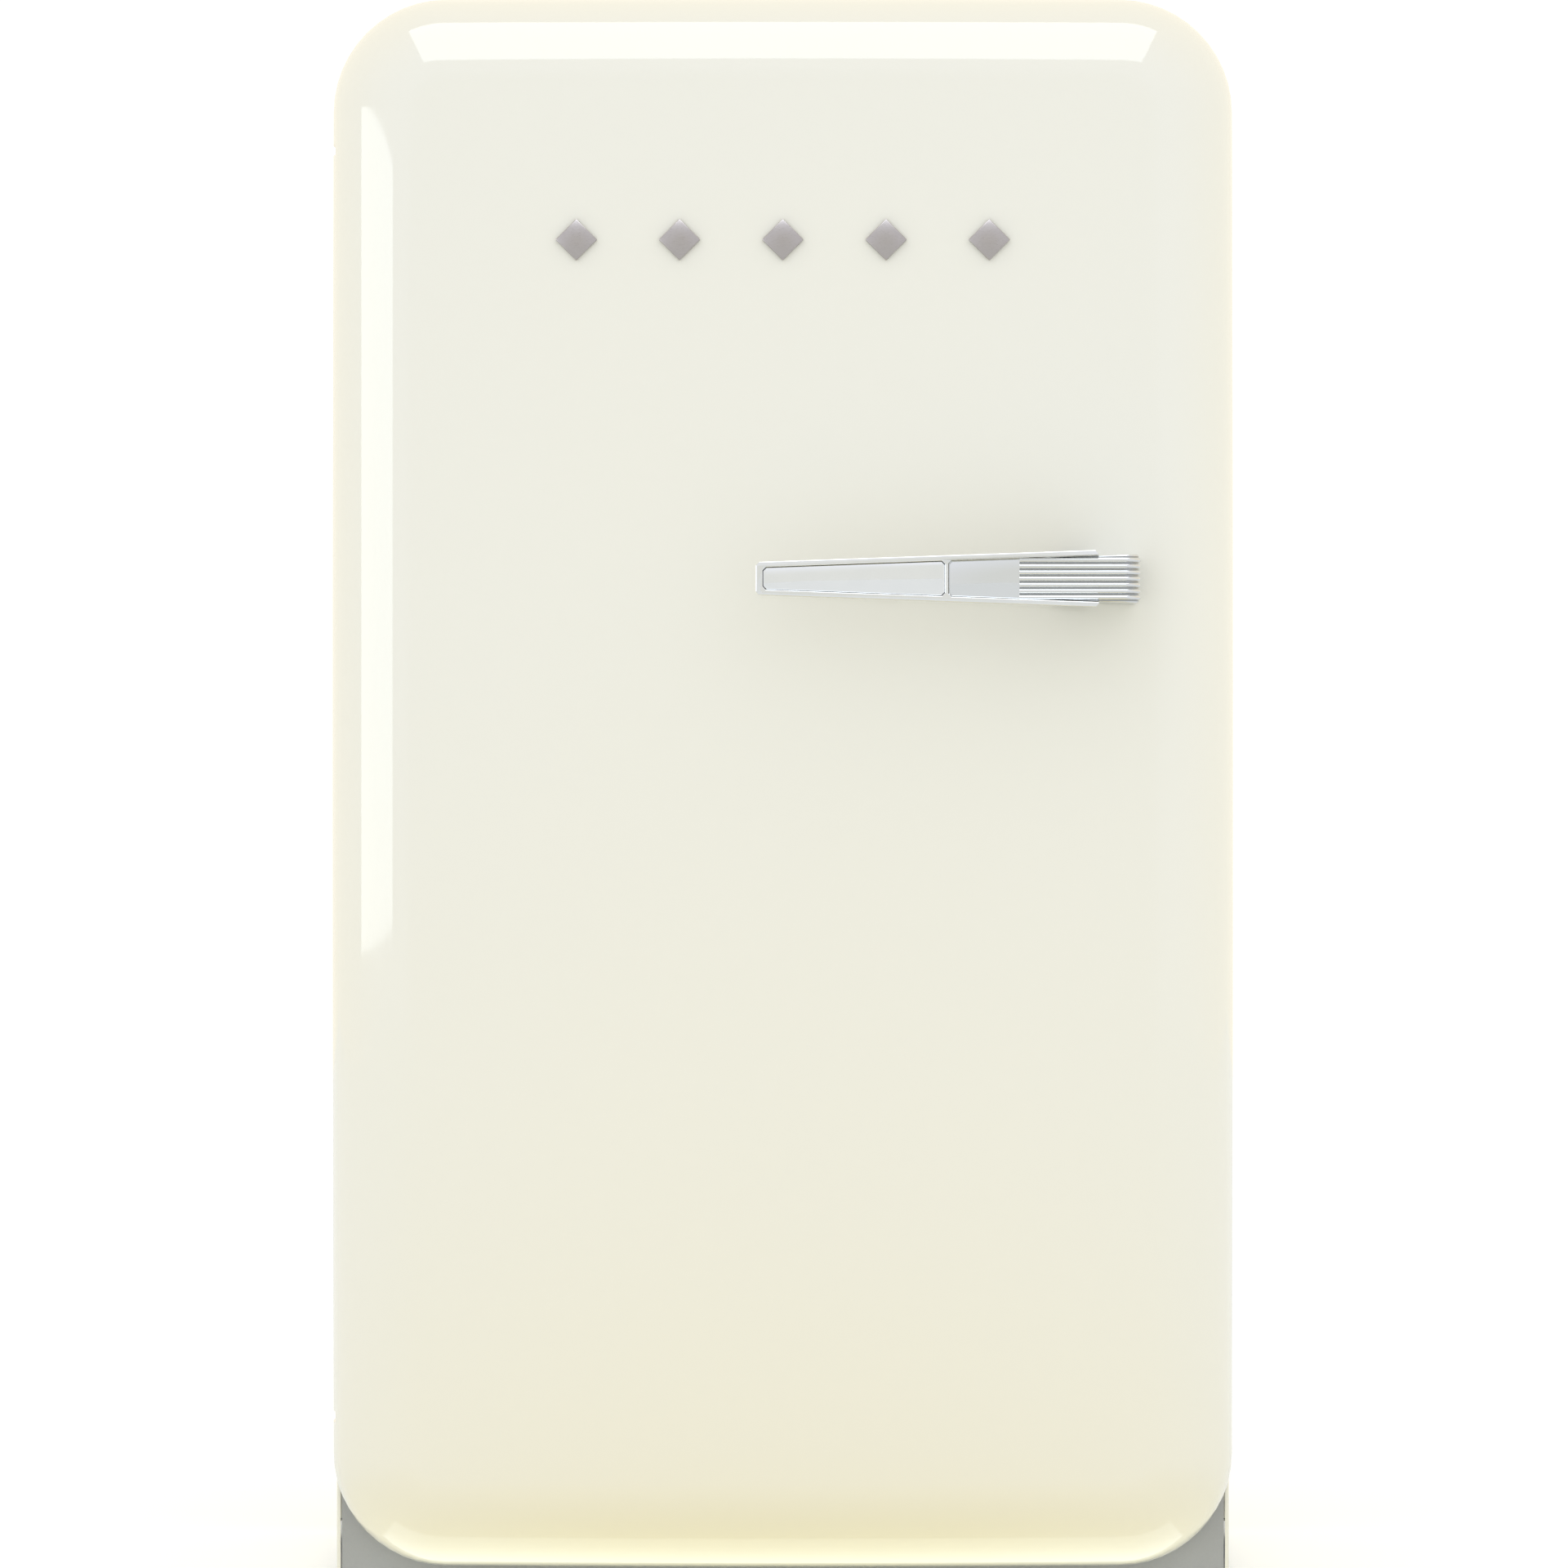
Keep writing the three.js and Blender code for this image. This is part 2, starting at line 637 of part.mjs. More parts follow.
// Open tray on top of the compressor, where defrost water evaporates.
function dripTray() {
  const low = footPlateTop - 0.5 + COMPRESSOR.height + GAP;
  const high = RECESS_TOP - SHEET - 2 * GAP - 2;
  const area = (inset) => {
    const { x, y } = COMPRESSOR;
    return roundedRectangle(x - 82 + inset, x + 82 - inset, y - 50 + inset, y + 50 - inset, 14 - inset);
  };
  return cut(prismZ(area(0), low, high, 4), prismZ(area(MOULDING), low + MOULDING, high + 1, 4));
}
add("drip_tray", dripTray(), BLACK_PLASTIC);

// ---- Condenser and pipework on the back ----------------------------------------------------------

const CONDENSER = {
  half: CABINET_HALF - 71.5,
  low: RECESS_TOP + 66,
  passes: 11,
  tube: 2.6,
  y: CABINET_BACK + 14,
};
const condenserTop = CABINET_TOP - 121;
const condenserPitch = (condenserTop - CONDENSER.low) / (CONDENSER.passes - 1);
const DRIER = { x: 150, y: CABINET_BACK - 26, low: 74, high: 166, radius: 9 };
const shellFlank = COMPRESSOR.x - (COMPRESSOR.radius + 2.5) * COMPRESSOR.stretch;

// One tube from the compressor, up one side, back and forth down the back, and into the drier.
function condenserPath() {
  const { half, low, passes, y } = CONDENSER;
  const turn = condenserPitch / 2;
  const inner = half - turn;
  const riser = half + 12;
  const rise = [
    [shellFlank - 1, COMPRESSOR.y + 16, 70],
    [shellFlank - 24, COMPRESSOR.y + 16, 70],
    [shellFlank - 24, y, 70],
    [-riser, y, 120],
    [-riser, y, condenserTop],
    [-inner, y, condenserTop],
  ];
  const path = rounded(rise, 10, 3);
  for (let i = 0; i < passes; i++) {
    const side = i % 2 ? -1 : 1;
    const z = condenserTop - i * condenserPitch;
    path.push(new THREE.Vector3(side * inner, y, z));
    for (let step = 1; i < passes - 1 && step <= 4; step++) {
      const angle = (step * Math.PI) / 4 - Math.PI / 2;
      const out = Math.cos(angle) * turn;
      path.push(new THREE.Vector3(side * (inner + out), y, z - turn - Math.sin(angle) * turn));
    }
  }
  const fall = [
    [inner, y, low],
    [inner + 15, y, low],
    [inner + 15, y, RECESS_TOP + 24],
    [DRIER.x, y, RECESS_TOP - 6],
    [DRIER.x, y, DRIER.high + 18],
    [DRIER.x, DRIER.y, DRIER.high + 18],
    [DRIER.x, DRIER.y, DRIER.high + GAP],
  ];
  return [...path, ...rounded(fall, 6, 3).slice(1)];
}
add("condenser_tube", rod(condenserPath(), CONDENSER.tube, 5), BLACK_PAINT);

// Upright channels that hold the tube off the back panel.
for (const [name, side] of SIDES) {
  const x = side * (CONDENSER.half - 50);
  const front = CABINET_BACK + GAP;
  const back = CONDENSER.y - CONDENSER.tube - GAP;
  const channel = cut(
    box(x - 9, x + 9, front, back, CONDENSER.low - 18, condenserTop + 18),
    box(x - 7.5, x + 7.5, front - 1, back - 1.5, CONDENSER.low - 20, condenserTop + 20),
  );
  add(`condenser_bracket_${name}`, channel, BLACK_PAINT);
}

// The panel lies inside the wrap's back edge, above the compressor recess.
function backPanel() {
  const shape = arch(SHEET + GAP, RECESS_TOP);
  return prismY(shape, CABINET_BACK - SHEET, CABINET_BACK, 8);
}
add("back_panel", backPanel(), WHITE_PLASTIC);

for (const [name, side] of SIDES) {
  const x = side * (CABINET_HALF - CORNER + 12);
  const shape = roundedRectangle(x - 14, x + 14, condenserTop + 30, condenserTop + 66, 6);
  add(`wall_spacer_${name}`, prismY(shape, CABINET_BACK + GAP, WALL, 4), BLACK_PLASTIC);
}

const drierProfile = [
  [0, DRIER.low],
  [3, DRIER.low],
  [3, DRIER.low + 8],
  [DRIER.radius, DRIER.low + 18],
  [DRIER.radius, DRIER.high - 18],
  [3, DRIER.high - 8],
  [3, DRIER.high],
  [0, DRIER.high],
];
add("filter_drier", turned(drierProfile, 14).translate(DRIER.x, DRIER.y, 0), COPPER);

// Carries defrost water from a funnel in the step's top, through the insulation, to the tray.
function drainTube() {
  return cut(
    turned(
      [
        [0, DRAIN.low],
        [DRAIN.radius, DRAIN.low],
        [DRAIN.radius, STEP_TOP + GAP],
        [DRAIN.rim, STEP_TOP + GAP],
        [DRAIN.rim, STEP_TOP + 1.5],
        [0, STEP_TOP + 1.5],
      ],
      12,
    ),
    disc(DRAIN.radius - 1.8, 0, STEP_TOP + 9, 10),
  ).translate(DRAIN.x, DRAIN.y, 0);
}
add("drain_tube", drainTube(), WHITE_PLASTIC);

const PIPE = 3;
// From the compressor's flank up to the insulation, on its way from the evaporator.
const suctionLine = rounded(
  [
    [shellFlank - 1, COMPRESSOR.y, 92],
    [shellFlank - 40, COMPRESSOR.y, 92],
    [shellFlank - 40, COMPRESSOR.y, 130],
    [shellFlank - 70, COMPRESSOR.y + 30, 150],
    [shellFlank - 70, COMPRESSOR.y + 30, RECESS_TOP - SHEET - 2 * GAP],
  ],
  12,
);
add("suction_line", rod(suctionLine, PIPE), COPPER);

// ---- Shelves, rack, crisper and lamp in the cavity -----------------------------------------------

const SHELF = { front: RUNNER_FRONT - 4, half: CAVITY_HALF - 1.5, glass: 4 };
const UPPER_LEVEL = RUNNERS[6];
const RACK_LEVEL = RUNNERS[4];
const MIDDLE_LEVEL = RUNNERS[2];

// A glass plate that lies on the runners at a level.
function glassPlate(level, back) {
  const low = level + GAP;
  return box(-SHELF.half, SHELF.half, SHELF.front + GAP, back, low, low + SHELF.glass);
}

// A glass plate with a moulded rail along its front.
function addShelf(name, level) {
  const low = level + GAP;
  const rail = outline(
    [SHELF.front - 4, low - 5],
    [SHELF.front + 8, low - 5],
    [SHELF.front + 8, low - GAP],
    [SHELF.front, low - GAP],
    [SHELF.front, low + SHELF.glass + GAP],
    [SHELF.front + 8, low + SHELF.glass + GAP],
    [SHELF.front + 8, low + SHELF.glass + 2.5],
    [SHELF.front - 2, low + SHELF.glass + 2.5],
    [SHELF.front - 4, low + SHELF.glass + 0.5],
  );
  const half = SHELF.half - RUNNER_WIDTH;
  add(`${name}_glass`, glassPlate(level, CAVITY_BACK - 2), GLASS);
  add(`${name}_rail`, prismX(rail, -half, half), CHROME);
}
addShelf("upper_shelf", UPPER_LEVEL);
addShelf("middle_shelf", MIDDLE_LEVEL);
// The crisper's glass stops short of the drain.
add("crisper_cover", glassPlate(CRISPER_GLASS, DRAIN.y - DRAIN.rim - 3), GLASS);

const RACK = { wire: 2.4, lap: 3.1, half: SHELF.half - 2, cradles: 5, dip: 13 };

// Chrome wires: a frame on the runners and two waved bars that cradle bottles on their sides.
function bottleRack() {
  const z = RACK_LEVEL + RACK.wire + GAP;
  const front = SHELF.front;
  const back = CAVITY_BACK - 6;
  const along = (x) =>
    [front - 1, back + 1].map((y) => new THREE.Vector3(x, y, z + RACK.lap));
  const across = (y, half) => [new THREE.Vector3(-half, y, z), new THREE.Vector3(half, y, z)];
  const wave = (y) => {
    const steps = RACK.cradles * 4;
    return Array.from({ length: steps + 1 }, (_, i) => {
      const share = i / steps;
      const lift = (Math.cos(share * RACK.cradles * 2 * Math.PI) + 1) / 2;
      return new THREE.Vector3((2 * share - 1) * RACK.half, y, z + 2 * RACK.lap + lift * RACK.dip);
    });
  };
  const middles = Array.from({ length: RACK.cradles }, (_, i) => (2 * i + 1) / RACK.cradles - 1);
  const rungs = [-1, ...middles, 1].map((share) => RACK.half * share);
  const wires = [
    across(front, RACK.half + 1),
    across(back, RACK.half + 1),
    ...rungs.map(along),
    wave(front + 45),
    wave(back - 55),
  ];
  const [first, ...others] = wires.map((points) => rod(points, RACK.wire, 5));
  return join(first, ...others);
}
add("bottle_rack", bottleRack(), CHROME);

const CRISPER = {
  half: CAVITY_HALF - CAVITY_CORNER + 2.5,
  front: SHELF.front + 4,
  back: STEP_FRONT - 4,
  low: CAVITY_FLOOR + GAP + 1,
  high: CRISPER_GLASS - 10,
  corner: 16,
  wall: 2.5,
};

// A clear drawer with a hooked grip along the top of its front.
function crisperDrawer() {
  const { half, front, back, low, high, corner, wall } = CRISPER;
  const area = (inset) =>
    roundedRectangle(inset - half, half - inset, front + inset, back - inset, corner - inset);
  const bin = cut(prismZ(area(0), low, high, 4), prismZ(area(wall), low + wall, high + 1, 4));
  const grip = outline(
    [front + 0.5, high - 4],
    [front - 9.5, high - 4],
    [front - 9.5, high - 14],
    [front - 12, high - 14],
    [front - 12, high - 2.5],
    [front - 10.5, high - 1],
    [front + 0.5, high - 1],
  );
  return join(bin, prismX(grip, -90, 90));
}
add("crisper_drawer", crisperDrawer(), CLEAR_PLASTIC);

const LAMP = {
  depth: 32,
  y0: RUNNER_FRONT - 16,
  y1: RUNNER_FRONT + 112,
  low: UPPER_LEVEL + 32,
  high: CAVITY_TOP - CAVITY_CORNER - 6,
};
const lampFace = CAVITY_HALF - GAP - LAMP.depth;
// The lens's window, drawn in by inset.
const lampWindow = (inset, radius) =>
  roundedRectangle(
    LAMP.y0 + 58 + inset,
    LAMP.y1 - 10 - inset,
    LAMP.low + 8 + inset,
    LAMP.high - 8 - inset,
    radius,
  );
const lampMiddle = (LAMP.low + LAMP.high) / 2;
const KNOB = { y: LAMP.y0 + 28, radius: 14, length: 12, shaft: 3 };

// Housing on the side wall for the lamp and the thermostat.
function lampHousing() {
  const shape = roundedRectangle(LAMP.y0, LAMP.y1, LAMP.low, LAMP.high, 8);
  const shaftHole = disc(KNOB.shaft + 0.6, -14, 1, 12).rotateY(-Math.PI / 2);
  return cut(
    prismX(shape, lampFace, CAVITY_HALF - GAP, 4),
    shaftHole.translate(lampFace, KNOB.y, lampMiddle),
    prismX(lampWindow(0, 2), lampFace - 1, lampFace + 3, 2),
  );
}
add("lamp_housing", lampHousing(), WHITE_PLASTIC);

add("lamp_lens", prismX(lampWindow(GAP, 3), lampFace - 3, lampFace + 3 - GAP, 3), LAMP_COVER);

// A fluted dial with a finger bar across it, on a shaft into the housing.
function thermostatKnob() {
  const dial = turned(
    [
      [0, -10],
      [KNOB.shaft, -10],
      [KNOB.shaft, 0.5],
      [KNOB.radius - 1, 0.5],
      [KNOB.radius, 2],
      [KNOB.radius - 1, 8],
      [KNOB.radius - 2, 9],
      [0, 9],
    ],
    18,
  );
  return join(dial, box(-2.5, 2.5, 3 - KNOB.radius, KNOB.radius - 3, 8, KNOB.length))
    .rotateY(-Math.PI / 2)
    .translate(lampFace, KNOB.y, lampMiddle);
}
add("thermostat_knob", thermostatKnob(), GREY_PAINT);

// ---- Door: a pressed steel skin over foam, with a moulded liner and a magnetic seal --------------

const DOOR_HALF = WIDTH / 2;
const DOOR_HALF_HEIGHT = (HEIGHT - DOOR_BOTTOM) / 2;
const DOOR_MIDDLE = DOOR_BOTTOM + DOOR_HALF_HEIGHT;
const SIDE_BOW = 0.8; // how far the sides bow outwards at the middle
const END_BOW = 1.6; // and the top and bottom
const EDGE_ROUND = 54; // how far in from the edge the rounding reaches
const EDGE_WALL = 18; // upright part of the edge before the rounding
const CROWN = 5; // of the face, from its middle to the corners of its rounded edge
const HEM = 12; // skin folded in behind the door
const RING = { corner: 5, side: 4, end: 4 }; // steps round one corner, up a side, along an end
const FACE_RING = 0.55; // place of the one ring of points on the face, between middle and edge

// The door's outline drawn in by inset: points [x, z] round it, the same number for every inset.
function doorOutline(inset) {
  const half = DOOR_HALF - inset;
  const tall = DOOR_HALF_HEIGHT - inset;
  const radius = CORNER - inset;
  const points = [];
  for (let corner = 0; corner < 4; corner++) {
    const sx = corner === 0 || corner === 3 ? 1 : -1;
    const sz = corner < 2 ? 1 : -1;
    for (let step = 0; step <= RING.corner; step++) {
      const angle = ((corner + step / RING.corner) * Math.PI) / 2;
      points.push([
        sx * (half - radius) + radius * Math.cos(angle),
        sz * (tall - radius) + radius * Math.sin(angle),
      ]);
    }
    const steps = corner % 2 ? RING.side : RING.end;
    const [x, z] = points.at(-1);
    const [dx, dz] = corner % 2 ? [0, -2 * sz * (tall - radius)] : [-2 * sx * (half - radius), 0];
    for (let step = 1; step < steps; step++) points.push([x + (dx * step) / steps, z + (dz * step) / steps]);
  }
  return points.map(([x, z]) => [
    x * (1 - (SIDE_BOW / half) * (z / tall) ** 2),
    z * (1 - (END_BOW / tall) * (x / half) ** 2) + DOOR_MIDDLE,
  ]);
}

// A closed solid through rings of points, ending in a point at its front.
function loft(rings, apex) {
  const count = rings[0].length;
  const back = rings[0].reduce((sum, p) => sum.addScaledVector(p, 1 / count), new THREE.Vector3());
  const points = [...rings.flat(), back, apex];
  const index = [];
  const centre = rings.length * count;
  const last = (rings.length - 1) * count;
  for (let i = 0; i < count; i++) {
    const next = (i + 1) % count;
    index.push(centre, next, i, centre + 1, last + i, last + next);
    for (let ring = 0; ring < rings.length - 1; ring++) {
      const [a, b] = [ring * count + i, ring * count + next];
      index.push(a, b, b + count, a, b + count, a + count);
    }
  }
  return new THREE.BufferGeometry().setFromPoints(points).setIndex(index);
}

// Where the crowned face lies at a place on the door.
function faceAt(x, z) {
  const across = x / (DOOR_HALF - EDGE_ROUND);
  const along = (z - DOOR_MIDDLE) / (DOOR_HALF_HEIGHT - EDGE_ROUND);
  return DOOR_FRONT + (CROWN * (across ** 2 + along ** 2)) / 2;
}

// The door's block, drawn in by inset all over, from y back to its crowned face.
function doorBlock(inset, back) {
  const wall = DOOR_BACK - EDGE_WALL;
  const faceEdge = doorOutline(EDGE_ROUND).map(([x, z]) => new THREE.Vector3(x, faceAt(x, z) + inset, z));
  const rings = [back, wall].map((y) => doorOutline(inset).map(([x, z]) => new THREE.Vector3(x, y, z)));
  for (let step = 1; step <= 5; step++) {
    const angle = (step * Math.PI) / 10;
    const drawn = doorOutline(inset + (EDGE_ROUND - inset) * (1 - Math.cos(angle)));
    const rise = (i) => (faceEdge[i].y - wall) * Math.sin(angle);
    rings.push(drawn.map(([x, z], i) => new THREE.Vector3(x, wall + rise(i), z)));
  }
  const halfway = faceEdge.map((edge) => {
    const [x, z] = [edge.x * FACE_RING, DOOR_MIDDLE + (edge.z - DOOR_MIDDLE) * FACE_RING];
    return new THREE.Vector3(x, faceAt(x, z) + inset, z);
  });
  return loft([...rings, halfway], new THREE.Vector3(0, DOOR_FRONT + inset, DOOR_MIDDLE));
}

const doorShape = (inset) => outline(...doorOutline(inset));

add(
  "door_skin",
  cut(
    doorBlock(0, DOOR_BACK),
    doorBlock(SHEET, DOOR_BACK - SHEET),
    prismY(doorShape(HEM), DOOR_BACK - SHEET - 1, DOOR_BACK + 1),
    ...hingeLevels.map(lugSlot),
  ),
  CREAM_ENAMEL,
);

// Raised walls of the door liner, which fill the cavity's mouth and hold the balconies between them.
const RIDGE = {
  half: CAVITY_HALF - 16,
  width: 27,
  depth: SEAL_GAP + 48,
  low: MOUTH_BOTTOM + 16,
  high: MOUTH_TOP - 15,
};
const PANEL = 2.5; // thickness of the door liner

function ridge(inset, back, front) {
  const { half, width, low, high } = RIDGE;
  const shape = roundedRectangle(inset - half, half - inset, low + inset, high - inset, 24 - inset);
  const grown = width - inset;
  shape.holes.push(roundedRectangle(grown - half, half - grown, low + grown, high - grown, 10 + inset));
  return prismY(shape, front, back, 4);
}

const BALCONY = { half: RIDGE.half - RIDGE.width - 2, back: DOOR_BACK + 0.8, wall: 2.2 };
const balconyAt = (low, wall, depth) => ({ low, high: low + wall, depth });
const UPPER = balconyAt(RIDGE.high - 218, 52, 92);
const BOTTLE = balconyAt(RIDGE.low + 48, 80, 106);
const MIDDLE = balconyAt((UPPER.low + BOTTLE.high) / 2 + 5, 52, 92);

// Lugs inside the ridge, under the ends of each balcony.
const balconyLugs = [UPPER, MIDDLE, BOTTLE].flatMap(({ low }) =>
  SIDES.map(([, side]) => {
    const outer = RIDGE.half - RIDGE.width + 1;
    const xs = [side * outer, side * (outer - 8)].sort((a, b) => a - b);
    return box(...xs, DOOR_BACK - 1, DOOR_BACK + 40, low - GAP - 9, low - GAP);
  }),
);

const ridgeEnd = DOOR_BACK + RIDGE.depth;
const doorLiner = cut(
  join(prismY(doorShape(HEM + GAP), DOOR_BACK - PANEL, DOOR_BACK), ridge(0, ridgeEnd, DOOR_BACK - PANEL)),
  ridge(PANEL, ridgeEnd - PANEL, DOOR_BACK - PANEL - 1),
  ...hingeLevels.map(lugSlot),
);
add("door_liner", join(doorLiner, ...balconyLugs), WHITE_PLASTIC);

const foamBack = DOOR_BACK - PANEL - GAP;
const doorFoam = cut(
  join(doorBlock(SHEET + GAP, foamBack), ridge(PANEL + GAP, ridgeEnd - PANEL - GAP, foamBack - 5)),
  ...hingeLevels.flatMap((z) => [lugSlot(z), bushPocket(z)]),
);
add("door_foam", doorFoam, FOAM);

// Bellows seal: a hollow magnet bead on a folded root, the same all the way round.
const SEAL = { inset: 36, width: 16 };
function doorSeal() {
  const from = DOOR_BACK + GAP;
  const to = CABINET_FRONT - GAP;
  const middle = (from + to) / 2;
  const frame = (outer, inner, y0, y1) => {
    const shape = doorShape(SEAL.inset + outer);
    shape.holes.push(doorShape(SEAL.inset + inner));
    return prismY(shape, y0, y1);
  };
  const half = SEAL.width / 2;
  return join(frame(-half + 3, half - 3, from, middle), frame(-half, half, middle - 0.5, to));
}
add("door_seal", doorSeal(), SEAL_RUBBER);

// ---- Door balconies, chrome guards, dairy lid and egg tray ---------------------------------------

function balconyTray({ low, high, depth }) {
  const front = BALCONY.back + depth;
  const area = (inset) => {
    const half = BALCONY.half - inset;
    return roundedRectangle(-half, half, BALCONY.back + inset, front - inset, [2, 18 - inset, 18 - inset, 2]);
  };
  return cut(
    prismZ(area(0), low, high, 4),
    prismZ(area(BALCONY.wall), low + BALCONY.wall, high + 1, 4),
  );
}

const LID = { pin: 2.8, ear: 3, rise: 30, back: BALCONY.back + 8 };
const lidPivot = UPPER.high + LID.rise;

// The upper balcony carries two ears for the lid's pins.
function upperBalcony() {
  const ears = SIDES.map(([, side]) => {
    const outer = side * BALCONY.half;
    const xs = [outer, outer - side * LID.ear].sort((a, b) => a - b);
    return box(...xs, BALCONY.back + 2, LID.back + 6, UPPER.high - 8, lidPivot + 6);
  });
  const bore = disc(LID.pin + 0.5, -WIDTH, WIDTH, 14).rotateY(Math.PI / 2).translate(0, LID.back, lidPivot);
  return cut(join(balconyTray(UPPER), ...ears), bore);
}
add("balcony_upper", upperBalcony(), CLEAR_PLASTIC);
add("balcony_middle", balconyTray(MIDDLE), CLEAR_PLASTIC);
add("balcony_bottle", balconyTray(BOTTLE), CLEAR_PLASTIC);

// A clear cover that swings up on pins at its back.
function dairyLid() {
  const front = BALCONY.back + UPPER.depth - 1;
  const low = UPPER.high + 0.5;
  const top = lidPivot + 4;
  const side = (inset) =>
    roundedRectangle(LID.back - 4 + inset, front - inset, low - inset, top - inset, [0, 22 - inset, 3, 0]);
  const half = BALCONY.half - LID.ear - 1;
  const pins = disc(LID.pin, -BALCONY.half + 0.5, BALCONY.half - 0.5, 12).rotateY(Math.PI / 2);
  const cover = cut(
    prismX(side(0), -half, half),
    prismX(side(2), 2 - half, half - 2).translate(0, 0, -2),
    box(2 - half, half - 2, LID.back - 6, LID.back + 4, low - 1, lidPivot - 4),
  );
  const between = box(3 - half, half - 3, LID.back - 9, LID.back + 9, low, top + 9);
  const bars = cut(pins.translate(0, LID.back, lidPivot), between);
  const [leftPin, rightPin] = toSolid(bars).decompose().map(toGeometry);
  return join(cover, leftPin, rightPin);
}
add("dairy_lid", dairyLid(), CLEAR_PLASTIC);

// A chrome wire that stands on a balcony's rim and keeps bottles in.
function guard({ high, depth }, rise) {
  const half = BALCONY.half - BALCONY.wall / 2;
  const front = BALCONY.back + depth - BALCONY.wall / 2;
  const foot = high + GAP;
  const corners = [
    [-half, BALCONY.back + 20, foot],
    [-half, BALCONY.back + 20, high + rise],
    [-half, front, high + rise],
    [half, front, high + rise],
    [half, BALCONY.back + 20, high + rise],
    [half, BALCONY.back + 20, foot],
  ];
  return rod(rounded(corners, 14, 3), 2.2, 6);
}
add("guard_middle", guard(MIDDLE, 22), CHROME);
add("guard_bottle", guard(BOTTLE, 46), CHROME);

// Two rows of cups, in the middle balcony.
function eggTray() {
  const low = MIDDLE.low + BALCONY.wall + GAP;
  const high = low + 26;
  const pitch = 44;
  const rowPitch = 42;
  const firstRow = BALCONY.back + 25;
  const tray = prismZ(
    roundedRectangle(-pitch * 1.5, pitch * 1.5, BALCONY.back + 4, BALCONY.back + 88 - BALCONY.wall, 8),
    low,
    high,
    3,
  );
  const cups = [firstRow, firstRow + rowPitch].flatMap((y) =>
    [-1, 0, 1].map((i) => disc(18, low + 4, high + 1, 10).translate(i * pitch, y, 0)),
  );
  return cut(tray, ...cups);
}
add("egg_tray", eggTray(), WHITE_PLASTIC);

// ---- Handle: a ribbed base screwed to the door, and a tapered arm forked over it ------------------

const HANDLE_END = DOOR_HALF - 60.5;
const HANDLE = {
  z: HEIGHT - 354,
  tip: HANDLE_END - 228, // free end of the arm
  inlayEnd: HANDLE_END - 116,
  tongue: HANDLE_END - 114, // free end of the base, between the arm's prongs
  fork: HANDLE_END - 25, // end of the prongs
  tipHalf: 9.8, // half heights of the arm
  forkHalf: 16.8,
  rim: 3.2, // width of the arm round the inlay and the base
  thickness: 15,
};

// Half height of the arm at x, less a margin.
const armHalf = (x, margin) => {
  const share = (x - HANDLE.tip) / (HANDLE.fork - HANDLE.tip);
  return HANDLE.tipHalf + (HANDLE.forkHalf - HANDLE.tipHalf) * share - margin;
};
// The arm's tapered outline from x0 to x1, drawn in by a margin above and below.
const armShape = (x0, x1, margin) =>
  outline(
    [x0 + 2, HANDLE.z - armHalf(x0, margin)],
    [x1 - 2, HANDLE.z - armHalf(x1, margin)],
    [x1, HANDLE.z - armHalf(x1, margin) + 2],
    [x1, HANDLE.z + armHalf(x1, margin) - 2],
    [x1 - 2, HANDLE.z + armHalf(x1, margin)],
    [x0 + 2, HANDLE.z + armHalf(x0, margin)],
    [x0, HANDLE.z + armHalf(x0, margin) - 2],
    [x0, HANDLE.z - armHalf(x0, margin) + 2],
  );

const RIB = { count: 7, pitch: 3.7, proud: 1.2 };
const PLAIN_LENGTH = 41; // of the base before its ribs start

// The base seen from above: along between the prongs, round the end and down to the door.
function basePlan(proud) {
  const front = HANDLE_FRONT + 3.2 - proud;
  const back = HANDLE_FRONT + HANDLE.thickness;
  const right = HANDLE_END - RIB.proud + proud;
  const seat = (x) => faceAt(x, HANDLE.z) - GAP - 0.1;
  return new THREE.Shape()
    .moveTo(HANDLE.tongue, front)
    .lineTo(right - 9, front)
    .absarc(right - 9, front + 9, 9, -Math.PI / 2, 0)
    .lineTo(right, seat(right))
    .lineTo(HANDLE.fork - 32, seat(HANDLE.fork - 32))
    .quadraticCurveTo(HANDLE.fork - 36, back, HANDLE.fork - 62, back)
    .lineTo(HANDLE.tongue, back);
}

function handleBase() {
  const { z, tongue, rim } = HANDLE;
  const reach = armHalf(HANDLE_END, 0);
  const core = prismZ(basePlan(0), z - reach, z + reach, 3);
  const plainEnd = tongue + PLAIN_LENGTH;
  const plain = box(tongue - 1, plainEnd, HANDLE_FRONT, HANDLE_FRONT + 3.2, z - reach, z + reach);
  const raised = Array.from({ length: RIB.count }, (_, i) => {
    const middle = z + (i - (RIB.count - 1) / 2) * RIB.pitch;
    return cut(prismZ(basePlan(RIB.proud), middle - RIB.pitch / 4, middle + RIB.pitch / 4, 3), plain);
  });
  const face = prismY(armShape(tongue, HANDLE_END + 3, rim), HANDLE_FRONT, DOOR_BACK);
  return common(join(core, ...raised), face);
}
add("handle_base", handleBase(), CHROME);

function handleArm() {
  const { tip, fork, rim, thickness, inlayEnd, tongue } = HANDLE;
  const front = HANDLE_FRONT;
  return cut(
    prismY(armShape(tip, fork, 0), front, front + thickness),
    prismY(armShape(tip + 4, inlayEnd, rim), front - 1, front + 3),
    prismY(armShape(tongue - GAP, HANDLE_END + 3, rim - GAP), front - 1, front + thickness + 1),
  );
}
add("handle_arm", handleArm(), CHROME);

const inlayShape = armShape(HANDLE.tip + 4 + GAP, HANDLE.inlayEnd - GAP, HANDLE.rim + GAP);
add("handle_inlay", prismY(inlayShape, HANDLE_FRONT + 1.2, HANDLE_FRONT + 3 - GAP), SATIN_METAL);

// ---- Badge: a row of plain lozenge studs ---------------------------------------------------------

